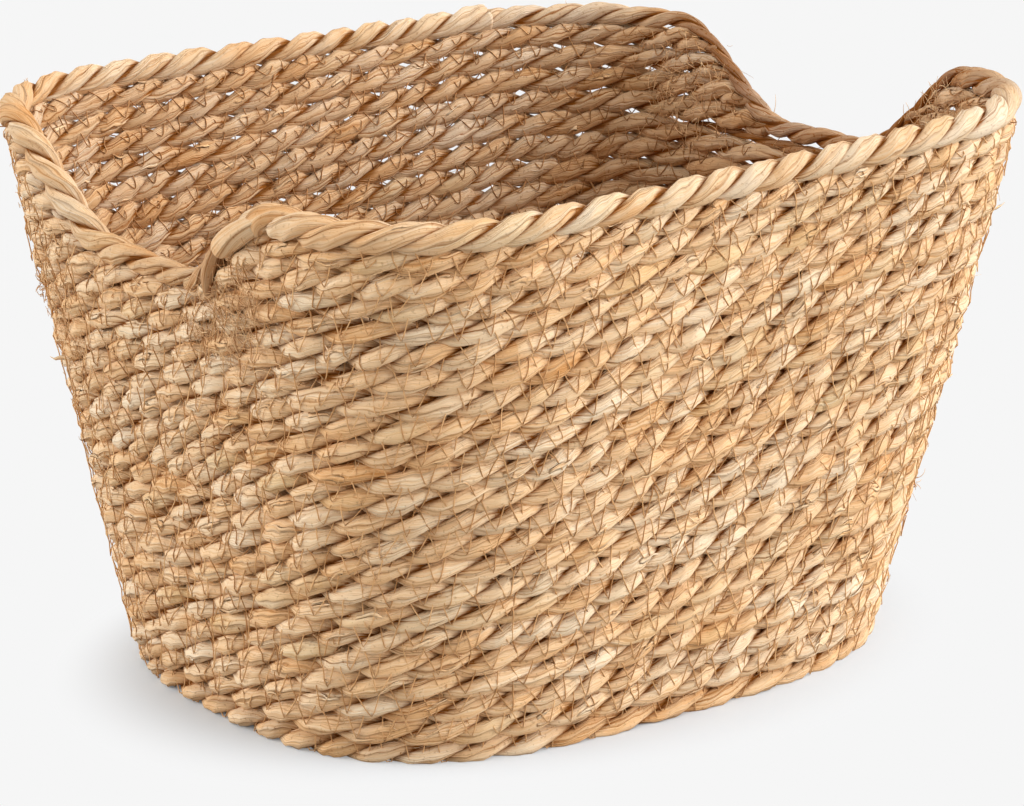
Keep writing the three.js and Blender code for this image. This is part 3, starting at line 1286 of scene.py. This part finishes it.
@dataclass(frozen=True)
class ThreadFinish:
    """Sewing thread or fibre: each stitch or fibre has its own tone between two, with a slow drift."""

    name: str
    dark: Colour
    light: Colour
    drift: Pair = (240.0, 2.0)
    own_share: float = 0.6
    drift_share: float = 0.5
    darker: float = 0.05
    roughness: float = 0.6
    specular: float = 0.2

    def material(self) -> bpy.types.Material:
        """Makes the material from the tone and the place of each point.

        Returns:
            The material.
        """
        bench = Bench(bpy.data.materials.new(self.name))
        tone = bench.parts(bench.attribute("grain", "Vector"))[2]
        drift = bench.noise(bench.place(), *self.drift)
        share = bench.held(tone * self.own_share + drift * self.drift_share - self.darker)
        shader = bench.node(
            "ShaderNodeBsdfPrincipled",
            {},
            Base_Color=bench.mix(share, linear(*self.dark), linear(*self.light)),
            Roughness=self.roughness,
            Specular_IOR_Level=self.specular,
        )
        return bench.finish(shader)


WALL_LEAF = LeafFinish("wall_leaf")
BASE_LEAF = LeafFinish("base_leaf", middle_tone=0.52)
RIM_LEAF = LeafFinish(
    "rim_leaf",
    tan=(217, 175, 130),
    pale=(224, 197, 163),
    cream=(229, 211, 187),
    middle_tone=0.58,
    paler_right=0.6,
    leaf_weight=0.1375,
    line_contrast=0.9,
)
SEWING_THREADS = {
    Face.OUTSIDE: ThreadFinish("outer_thread", (180, 128, 76), (234, 192, 142)),
    # The inside thread is a darker copy of the same thread: painted shade for the shaded inside of the basket.
    Face.INSIDE: ThreadFinish("inner_thread_shaded", (142, 94, 52), (196, 146, 96)),
}
LOOSE_FIBRE = ThreadFinish("loose_fibre", (176, 122, 72), (244, 212, 168))
FRAYED_FIBRE = ThreadFinish("frayed_fibre", (184, 130, 78), (248, 214, 168))


@dataclass
class Coils:
    """The centre lines of the basket's ropes: the base coil, the wall coil, the short rows, and the rim.

    A place of the rim gives its angle in degrees, its thickness, its browning, and how much of the sink it has.
    The browning is partly the rope's own browner colour and partly painted shade round the right end. The end is
    the thick strand that ends on the outside of the rim, and the torn strand hangs beside it.
    """

    form: Form
    rope_radius: float = 0.0068
    short_radius: float = 0.0063
    rim_radius: float = 0.0063
    rim_sink: float = 0.0022
    rim_places: tuple[tuple[float, float, float, float], ...] = (
        (-178.0, 0.64, 0.1, 1.0),
        (-174.5, 0.64, 0.1, 1.0),
        (-171.5, 1.0, 0.0, 1.0),
        (-55.0, 1.0, 0.0, 1.0),
        (-45.0, 1.0, 0.24, 1.0),
        (-34.0, 1.0, 0.36, 1.0),
        (-18.0, 0.95, 0.44, 1.0),
        (-12.0, 0.66, 0.42, 1.0),
        (-7.0, 0.5, 0.5, 1.0),
        (-4.0, 0.6, 0.45, 0.6),
        (-1.0, 0.92, 0.35, 0.5),
        (2.0, 0.9, 0.3, 0.5),
        (5.0, 0.62, 0.35, 1.0),
        (10.0, 0.54, 0.35, 1.0),
        (15.0, 0.62, 0.25, 1.0),
        (22.0, 0.9, 0.1, 1.0),
        (30.0, 1.0, 0.0, 1.0),
        (178.5, 1.0, 0.0, 1.0),
    )
    wall_lay: float = 0.043
    rim_lay: float = 0.042
    splice_share: float = 0.86
    splice_start: float = 0.95
    splice_reach: float = 0.25
    end_radius: float = 0.006
    end_lay: float = 0.2
    end_angles: Pair = (184.6, 196.0)
    end_free_angle: float = 187.5
    end_free_reach: float = 6.0
    end_drop: float = 0.0016
    end_stand: float = 0.005
    end_points: int = 120
    end_least_share: float = 0.2
    end_thinner: float = 0.3
    end_swell: float = 0.12
    end_swell_place: Pair = (0.012, 0.008)
    torn_radius: float = 0.0034
    torn_lay: float = 0.12
    torn_angles: Pair = (184.2, 183.0)
    torn_drop: Pair = (0.001, 0.017)
    torn_stain: float = 0.45
    torn_points: int = 60
    torn_stand: float = 0.001
    torn_thinner: float = 0.3
    row_tuck: float = 0.0015
    row_least_share: float = 0.45
    samples_a_turn: int = 1440
    beneath: float = 0.002
    base_start_tuck: float = 0.005

    def coil(self, turns: Pair, on_base: bool) -> Path:
        """The path of a coil, which steps up one row each turn, with a trimmed tail in the step at its ends.

        A tail's radius is half of what the row beside it leaves free. The base starts without a tail: its first
        end is tucked in against the turn round it.

        Args:
            turns: The first and last turn.
            on_base: Whether the coil lies flat as the base.

        Returns:
            The path.
        """
        form = self.form
        half = form.step_share / 2
        first, last = turns
        begin = first if on_base else first - half
        turn = np.arange(math.ceil(begin * self.samples_a_turn), (last + half) * self.samples_a_turn)
        turn = turn / self.samples_a_turn
        pitch = (form.foot_half_width - form.inset) / form.base_turns if on_base else form.wall_pitch
        head = np.ones_like(turn) if on_base else smooth((turn - first) / form.step_share + 0.5)
        tail = 1 - smooth((turn - last) / form.step_share + 0.5)
        free = np.minimum(head, tail) * pitch - (pitch - form.rope_diameter)
        shares = np.minimum(free / form.rope_diameter, 1.0)
        kept = shares > form.tail_least_share
        turn, shares = turn[kept], shares[kept]
        row = np.clip(form.row_at(turn), math.floor(first), last - 1)
        side = np.where(turn > last - 0.5, 1, -1)
        row = row + side * form.inset * (1 - shares) / pitch

        def place(at: np.ndarray) -> np.ndarray:
            """The points of the rows at the coil's angles."""
            angle = turn * TURN
            return form.on_base(angle, at) if on_base else form.on_wall(angle, form.base_z + at * pitch)

        beside = 0.05
        points = place(row)
        if on_base:
            points[0, 0] -= self.base_start_tuck
        return Path(turn * TURN, points, unit(place(row + beside) - place(row - beside)), shares)

    def rim(self) -> Path:
        """The path of the rim rope, once round from its splice on the back.

        Returns:
            The path.
        """
        start = math.acos(self.form.rim_splice_share ** (self.form.mouth_squareness / 2))
        angle = start + np.linspace(0, TURN, self.samples_a_turn + 1)
        points = self.form.on_rim(angle)
        rises = unit(points - self.form.on_rim(angle, self.beneath))
        thinning = (1 - self.splice_share) * smooth((angle - self.splice_start * TURN) / self.splice_reach)
        degrees = (np.degrees(angle) + 180) % 360 - 180
        # The browning round the right end is partly the rope's own browner colour and partly painted shade.
        places, shares, stains_and_shade, sinks = np.array(self.rim_places).T
        share = np.interp(degrees, places, shares, period=360)
        sink = np.interp(degrees, places, sinks, period=360) * self.rim_sink
        sunk = points - (sink + thinning * self.rim_radius)[:, None] * rises
        return Path(angle, sunk, rises, (1 - thinning) * share, np.interp(degrees, places, stains_and_shade, period=360))

    def strand_end(self, rim: Path) -> Path:
        """The path of the thick strand that ends on the outside of the rim at the front left corner.

        It comes out of the rim rope and ends blunt: near its end, at a distance d, its radius goes with the
        root of 1 - (1 - d/r)^2. A slight swelling behind the end is a bell curve.

        Args:
            rim: The rim's path.

        Returns:
            The path.
        """
        angle = np.radians(np.linspace(*self.end_angles, self.end_points))
        _, _, out, up = rim.frames(rim.length_at(angle))
        free = 1 - smooth((np.degrees(angle) - self.end_free_angle) / self.end_free_reach)
        points = self.form.on_rim(angle, self.rim_sink + self.end_drop * free)
        points = points + self.end_stand * out * free[:, None]
        lengths = np.concatenate([[0.0], np.cumsum(np.linalg.norm(np.diff(points, axis=0), axis=1))])
        rounded = (1 - lengths / self.end_radius) ** 2 * (lengths < self.end_radius)
        blunt = np.sqrt(np.clip(1 - rounded, self.end_least_share**2, 1))
        middle, breadth = self.end_swell_place
        swollen = 1 + self.end_swell * np.exp(-(((lengths - middle) / breadth) ** 2))
        return Path(angle, points, up, blunt * swollen * (1 - self.end_thinner * (1 - free)))

    def torn_end(self, rim: Path) -> Path:
        """The path of a thin torn strand that hangs from the rim at the front left corner.

        The angle eases out to its last value, and the drop grows with the power 1.5 of the way t. The strand is
        thickest in the middle, by a sine, and its end thins with the power 6.

        Args:
            rim: The rim's path.

        Returns:
            The path.
        """
        t = np.linspace(0, 1, self.torn_points)
        (start, end), (high, low) = self.torn_angles, self.torn_drop
        angle = np.radians(start + (end - start) * t * (2 - t))
        _, along, out, _ = rim.frames(rim.length_at(angle))
        stand = self.end_stand + self.torn_stand * t
        points = self.form.on_rim(angle, high + (low - high) * t**1.5) + stand[:, None] * out
        shares = 1 - self.torn_thinner * (1 - np.sin(t * math.pi) + t**6)
        return Path(angle, points, along, shares, np.full_like(t, self.torn_stain))

    def short_row(self, middle: float, z: float, rim: Path) -> Path:
        """The path of a short row on one long side, which thins as the rim rope leaves it less room.

        Its thickness is the room from the row below to the rim rope.

        Args:
            middle: The angle of the long side's middle.
            z: The row's height.
            rim: The rim's path.

        Returns:
            The path.
        """
        angle = middle + np.linspace(-math.pi / 2, math.pi / 2, self.samples_a_turn + 1)
        points = self.form.on_wall(angle, z)
        apart = np.linalg.norm(points[:, None] - rim.points[None, ::4], axis=-1)
        room = (apart - self.rim_radius * rim.shares[::4]).min(axis=1) + self.row_tuck
        room = np.where(self.form.on_rim(angle)[:, 2] > points[:, 2], room, -self.short_radius)
        shares = np.clip((room + self.short_radius) / (2 * self.short_radius), 0.0, 1.0)
        centre = len(angle) // 2
        closed = np.flatnonzero(shares < self.row_least_share)
        first = closed[closed < centre].max(initial=0)
        last = closed[closed > centre].min(initial=len(angle) - 1)
        kept = slice(first + 1, last)
        angle, points, shares = angle[kept], points[kept], shares[kept]
        rises = unit(points - self.form.on_wall(angle, z - self.beneath))
        return Path(angle, points - ((1 - shares) * self.short_radius)[:, None] * rises, rises, shares)


# The rim's leaves turn back by half of what the width of a wall strand asks for.
RIM_LAY = {
    "lay_drift": Drift(0.06, 0.07, 2.0),
    "swell_drift": Drift(0.02, 0.045, 2.0),
    "unlay_share": 0.5 * 0.76 / 0.7,
    "offset_share": 0.46,
    "depth_share": 0.56,
    "width_share": 0.76,
    "groove_reach": 0.78,
    "groove_softness": 0.2,
    # Painted shade on the rim's inside face.
    "inside_painted_shade": 0.1,
    "edge_step": 0.09,
    "crease_depth": 0.06,
}
SINGLE_STRAND = {
    "strands": 1,
    "offset_share": 0.0,
    "depth_share": 0.86,
    "width_share": 1.0,
    "thin_stain": 0.0,
    "inside_painted_shade": 0.0,
}


@dataclass
class Basket:
    """The whole basket: its ropes, seams and loose ends, built and dressed.

    The seeds are those of the base, the wall, the rim and the rim's two ends. A long side has its name, the
    angle of its middle and the first seed of its rows. The loose counts of a rope are its leaf ends and its
    fibres.
    """

    form: Form = field(default_factory=Form)
    stride: float = 0.0023
    sides: int = 9
    rim_stride: float = 0.0015
    base_stride: float = 0.0024
    base_sides: int = 5
    floor_z: float = 0.0001
    seeds: tuple[int, ...] = (11, 12, 13, 14, 15)
    long_sides: tuple[tuple[str, float, int], ...] = (
        ("front", 1.5 * math.pi, 20),
        ("back", 0.5 * math.pi, 30),
    )
    seam_seed: int = 101
    base_seam_start: float = 0.73
    step_clearance: float = 0.1
    rim_reach: float = 0.62
    wall_loose: tuple[int, int] = (800, 420)
    rim_loose: tuple[int, int] = (4, 20)
    row_loose: tuple[int, int] = (26, 20)
    flaps_inside: float = 0.25
    fibres_inside: float = 0.3
    frays: tuple[Fray, ...] = (
        Fray(183.2, 0.195, 2.2, 0.010, 150, (0.004, 0.012), 0.1),
        Fray(188.0, 0.207, 4.0, 0.014, 210, (0.005, 0.015), 0.1),
        Fray(167.0, 0.170, 8.0, 0.030, 330, (0.003, 0.008), 0.12),
        Fray(150.0, 0.176, 1.6, 0.004, 36, (0.003, 0.007), 1.5),
        Fray(121.0, 0.256, 0.4, 0.001, 12, (0.004, 0.006), 1.0, False, -0.01),
        Fray(272.5, 0.127, 0.3, 0.001, 14, (0.002, 0.005), 0.8),
        Fray(318.0, 0.075, 0.5, 0.002, 14, (0.003, 0.008), 1.2),
        Fray(2.5, 0.216, 0.5, 0.001, 4, (0.006, 0.010), 1.5, False, -0.01),
        Fray(16.0, 0.220, 6.0, 0.014, 220, (0.004, 0.010), 0.1, True),
        Fray(347.0, 0.238, 5.0, 0.008, 160, (0.004, 0.009), 0.1, True),
    )
    base: Rope = field(init=False)
    wall: Rope = field(init=False)
    rim: Rope = field(init=False)
    rim_ends: list[Rope] = field(init=False)
    short: dict[str, list[Rope]] = field(init=False)

    def __post_init__(self) -> None:
        """Lays out the ropes and presses neighbouring rows together."""
        form = self.form
        coils = Coils(form)
        base_path = coils.coil((0.5, form.base_turns + 1), True)
        wall_path = coils.coil((1, form.wall_turns + 1), False)
        rim_path = coils.rim()
        base, wall, rim, end, torn = self.seeds
        self.base = Rope(base_path, coils.rope_radius, coils.wall_lay, base, floor_z=self.floor_z)
        self.wall = Rope(wall_path, coils.rope_radius, coils.wall_lay, wall)
        self.rim = Rope(rim_path, coils.rim_radius, coils.rim_lay, rim, **RIM_LAY)
        self.rim_ends = [
            Rope(coils.strand_end(rim_path), coils.end_radius, coils.end_lay, end, **SINGLE_STRAND),
            Rope(coils.torn_end(rim_path), coils.torn_radius, coils.torn_lay, torn, **SINGLE_STRAND),
        ]
        self.short = {}
        for side, middle, first in self.long_sides:
            paths = [coils.short_row(middle, z, rim_path) for z in form.short_heights]
            sizes = coils.short_radius, coils.wall_lay
            self.short[side] = [Rope(path, *sizes, seed) for seed, path in enumerate(paths, first)]
        for coil in (self.base, self.wall):
            coil.lean_on(coil, TURN, 1)
            coil.lean_on(coil, -TURN, -1)
        for rows in self.short.values():
            for low, high in zip(rows, rows[1:]):
                low.lean_on(high, 0.0, 1)
                high.lean_on(low, 0.0, -1)
            rows[0].lean_on(self.wall, self.top, -1)
            self.wall.lean_on(rows[0], -self.top, 1)
        for rope, turns in self.under_rim():
            for shift in (0.0, TURN):
                rope.lean_on(self.rim, shift - turns, 1)
                self.rim.lean_on(rope, turns - shift, -1)

    @property
    def top(self) -> float:
        """The angle at which the wall's last full row starts."""
        return self.form.wall_turns * TURN

    def under_rim(self) -> list[tuple[Rope, float]]:
        """The ropes under the rim rope, each with the angle by which it is ahead of the rim's first turn."""
        return [(self.wall, self.top), *((row, 0.0) for rows in self.short.values() for row in rows)]

    def dress(self, made: bpy.types.Object, nodes: list[str], material: bpy.types.Material) -> None:
        """Gives a piece its material and its place in the assembly, and hides the solids that it stands for.

        Args:
            made: The piece.
            nodes: The solids that it replaces.
            material: The piece's material.
        """
        made.data.materials.append(material)
        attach(made, "root")
        if nodes:
            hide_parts(*nodes)
        LOG.info("%s: %d faces", made.name, len(made.data.polygons))

    def build_ropes(self, leaf: bpy.types.Material) -> None:
        """Makes the strands of every rope. Each strand of the long wall rope is three pieces, end to end.

        Args:
            leaf: The leaf of the wall and of the short rows.
        """
        wall = self.wall
        for number in range(wall.strands):
            rings, grain, shade = wall.strand(number, self.stride, self.sides)
            third = len(rings) // 3
            for index, name in enumerate(("lower", "middle", "upper")):
                part = slice(index * third, (index + 1) * third + 1 if index < 2 else None)
                skin = Skin()
                skin.tubes(rings[None, part], grain[None, part], shade[None, part], wall.once_round)
                self.dress(skin.mesh(f"wall_strand_{number + 1}_{name}"), ["wall_coil"], leaf)
        base_leaf, rim_leaf = BASE_LEAF.material(), RIM_LEAF.material()
        base_skin = self.strands([self.base], self.base_stride, self.base_sides)
        self.dress(base_skin.mesh("base_strands"), ["base_coil"], base_leaf)
        rim_skin = self.strands([self.rim], self.rim_stride, self.sides)
        self.dress(rim_skin.mesh("rim_strands"), ["rim_rope"], rim_leaf)
        end_skin = self.strands(self.rim_ends, self.rim_stride, self.sides)
        self.dress(end_skin.mesh("rim_end_strands"), [], rim_leaf)
        for side, rows in self.short.items():
            for row, rope in enumerate(rows):
                node = f"{side}_row_{row + 1}"
                row_skin = self.strands([rope], self.stride, self.sides)
                self.dress(row_skin.mesh(f"{node}_strands"), [node], leaf)

    def strands(self, ropes: list[Rope], stride: float, sides: int) -> Skin:
        """The surfaces of all the strands of some ropes.

        Args:
            ropes: The ropes.
            stride: The length between two rings of points.
            sides: How many points each leaf has.

        Returns:
            The skin.
        """
        skin = Skin()
        for rope in ropes:
            for number in range(rope.strands):
                rings, grain, shade = rope.strand(number, stride, sides)
                skin.tubes(rings[None], grain[None], shade[None], rope.once_round)
        return skin

    def seams(self) -> dict[str, list[Seam]]:
        """Every seam of the basket, by the part that it belongs to.

        Returns:
            The seams of the base, of the wall, and of the short rows and the rim.
        """
        bottom, top = self.form.base_turns, self.top
        seeds, clear = itertools.count(self.seam_seed), self.step_clearance
        foot = (bottom + clear) * TURN, (bottom + (1 - clear)) * TURN
        base = [
            Seam(self.base, self.base, self.base_seam_start * TURN, bottom * TURN, TURN, next(seeds)),
            Seam(self.base, self.wall, *foot, (1 - bottom) * TURN, next(seeds)),
        ]
        wall = [Seam(self.wall, self.wall, (1 + clear) * TURN, top, TURN, next(seeds))]
        rows = []
        for short in self.short.values():
            below = [(self.wall, top), *((rope, 0.0) for rope in short[:-1])]
            for (lower, turns), upper in zip(below, short):
                ends = upper.path.angles[[0, -1]] + turns
                rows.append(Seam(lower, upper, ends[0], ends[1], -turns, next(seeds)))
        splice = float(self.rim.path.angles[0])
        for rope, turns in self.under_rim():
            first, last = rope.path.angles[[0, -1]] if rope is not self.wall else (top, top + TURN)
            for start, end, shift in ((first, splice + turns, TURN), (splice + turns, last, 0.0)):
                start, end = max(start, first), min(end, last)
                if start < end:
                    rows.append(Seam(rope, self.rim, start, end, shift - turns, next(seeds), self.rim_reach))
        return {"base": base, "wall": wall, "rows": rows}

    def build_thread(self) -> None:
        """Makes the sewing thread, one piece for each face of each part."""
        materials = {face: finish.material() for face, finish in SEWING_THREADS.items()}
        for part, seams in self.seams().items():
            for face, material in materials.items():
                skin = Skin()
                for seam in seams:
                    rings, tones = seam.stitches(face)
                    if len(rings):
                        skin.fibres(rings, tones)
                self.dress(skin.mesh(f"{part}_thread_{face.name.lower()}"), [], material)

    def build_loose_ends(self, leaf: bpy.types.Material) -> None:
        """Makes the lifted leaf ends and the fibres.

        Args:
            leaf: The leaf of the wall and of the short rows.
        """
        loose = LooseEnds()
        rng = np.random.default_rng(loose.seed)
        flaps, fibres, frayed = Skin(), Skin(), Skin()
        short = [(row, self.row_loose) for rows in self.short.values() for row in rows]
        for rope, counts in [(self.wall, self.wall_loose), (self.rim, self.rim_loose), *short]:
            flaps.tubes(*loose.flaps(rope, counts[0], self.flaps_inside))
            starts = rng.uniform(0, rope.path.length, counts[1])
            fibres.fibres(*loose.fibres(rope, starts, self.fibres_inside))
        for fray in self.frays:
            frayed.fibres(*loose.frayed(self.form, fray))
        self.dress(flaps.mesh("lifted_leaf_ends"), [], leaf)
        self.dress(fibres.mesh("loose_fibres"), [], LOOSE_FIBRE.material())
        self.dress(frayed.mesh("frayed_fibres"), [], FRAYED_FIBRE.material())

    def build(self) -> None:
        """Builds every piece."""
        leaf = WALL_LEAF.material()
        self.build_ropes(leaf)
        self.build_thread()
        self.build_loose_ends(leaf)


@dataclass(frozen=True)
class Lamp:
    """A soft distant lamp.

    It stands at an azimuth, in degrees from the front to the right, and an elevation above the floor. Its
    strength is its light on a surface that faces it, as a share of plain white, and its softness is its width
    in degrees.
    """

    name: str
    azimuth: float
    elevation: float
    strength: float
    softness: float


@dataclass(frozen=True)
class Studio:
    """The floor, the light and the camera."""

    azimuth: float = -37.55
    elevation: float = 16.61
    distance: float = 1.844
    lens: float = 140.2
    sensor_width: float = 36.0
    target: Triple = (0.0003, -0.0019, 0.1144)
    lamps: tuple[Lamp, ...] = (
        Lamp("key_lamp", 48.0, 18.5, 1.68, 88.0),
        Lamp("fill_lamp", -127.0, 16.0, 1.02, 56.0),
        Lamp("top_lamp", 10.0, 68.0, 0.34, 80.0),
    )
    sky: tuple[float, float, float, float] = (1.0, 0.93, 0.82, 1.0)
    sky_strength: float = 0.26
    background: Colour = (246, 246, 246)
    floor_colour: Colour = (186, 182, 176)
    floor_seen: Colour = (210, 217, 224)
    floor_half_size: float = 30.0
    plain_share: float = 0.06
    shadow_start: float = 0.95
    shadow_reach: float = 0.42

    def direction(self, azimuth: float, elevation: float) -> Vector:
        """The way from the middle to a place round it.

        Args:
            azimuth: Degrees from the front, to the right.
            elevation: Degrees above the floor.

        Returns:
            A vector of length 1.
        """
        a, e = math.radians(azimuth), math.radians(elevation)
        return Vector((math.sin(a) * math.cos(e), -math.cos(a) * math.cos(e), math.sin(e)))

    def build_camera(self) -> None:
        """Sets the camera where the picture was taken from."""
        data = bpy.data.cameras.new("camera")
        data.lens, data.sensor_width = self.lens, self.sensor_width
        camera = bpy.data.objects.new("camera", data)
        bpy.context.scene.collection.objects.link(camera)
        back = self.direction(self.azimuth, self.elevation)
        camera.location = Vector(self.target) + back * self.distance
        camera.rotation_mode = "QUATERNION"
        camera.rotation_quaternion = (-back).to_track_quat("-Z", "Y")
        bpy.context.scene.camera = camera

    def build_lamp(self, lamp: Lamp) -> None:
        """Adds a lamp.

        Args:
            lamp: Where it stands and what light it gives.
        """
        data = bpy.data.lights.new(lamp.name, "SUN")
        data.energy, data.angle = lamp.strength * math.pi, math.radians(lamp.softness)
        made = bpy.data.objects.new(lamp.name, data)
        bpy.context.scene.collection.objects.link(made)
        made.rotation_mode = "QUATERNION"
        made.rotation_quaternion = self.direction(lamp.azimuth, lamp.elevation).to_track_quat("Z", "Y")

    def build_floor(self) -> None:
        """Lays the pale floor, whose shadow fades into the plain background.

        The fade goes with the distance from the base's middle, in base half sizes, eased as 3s^2 - 2s^3.
        """
        half = self.floor_half_size
        corners = [(-half, -half, 0.0), (half, -half, 0.0), (half, half, 0.0), (-half, half, 0.0)]
        mesh = bpy.data.meshes.new("floor")
        mesh.from_pydata(corners, [], [(0, 1, 2, 3)])
        floor = bpy.data.objects.new("floor", mesh)
        bpy.context.scene.collection.objects.link(floor)
        bench = Bench(bpy.data.materials.new("floor"))
        rays = bench.node("ShaderNodeLightPath", {})
        kinds = ("Is Camera Ray", "Is Glossy Ray", "Is Transmission Ray")
        camera, glossy, passed = (bench.out(rays, kind) for kind in kinds)
        seen = bench.held(camera + glossy + passed)
        colour = bench.mix(seen, linear(*self.floor_colour), linear(*self.floor_seen))
        form = Form()
        x, y, _ = bench.parts(bench.place())
        east, north = x * (1 / form.foot_half_length), y * (1 / form.foot_half_width)
        away = bench.math("SQRT", east * east + north * north)
        fade = bench.share_past(away, self.shadow_start, 1 / self.shadow_reach)
        eased = fade * fade * (3.0 - fade * 2.0)
        plain_part = seen * (eased * (1 - self.plain_share) + self.plain_share)
        lit = bench.node("ShaderNodeBsdfDiffuse", {}, Color=colour)
        plain = bench.node("ShaderNodeEmission", {}, Color=linear(*self.background))
        mixed = bench.node("ShaderNodeMixShader", {}, _0=plain_part, _1=bench.out(lit), _2=bench.out(plain))
        mesh.materials.append(bench.finish(mixed))

    def build_world(self) -> None:
        """Makes the pale background and the even light round the object."""
        world = bpy.data.worlds.new("world")
        bpy.context.scene.world = world
        bench = Bench(world)
        camera = bench.out(bench.node("ShaderNodeLightPath", {}), "Is Camera Ray")
        light = bench.out(bench.node("ShaderNodeBackground", {}, Color=self.sky, Strength=self.sky_strength))
        seen = bench.out(bench.node("ShaderNodeBackground", {}, Color=linear(*self.background)))
        mixed = bench.node("ShaderNodeMixShader", {}, _0=camera, _1=light, _2=seen)
        bench.node("ShaderNodeOutputWorld", {}, Surface=bench.out(mixed))

    def build(self) -> None:
        """Sets up the camera, the lamps, the floor and the background."""
        self.build_camera()
        for lamp in self.lamps:
            self.build_lamp(lamp)
        self.build_floor()
        self.build_world()
        bpy.context.scene.view_settings.view_transform = "Standard"


def main() -> None:
    """Builds the basket and the studio."""
    logging.basicConfig(level=logging.INFO, format="%(name)s: %(message)s")
    Studio().build()
    Basket().build()


if __name__ == "__main__":
    main()
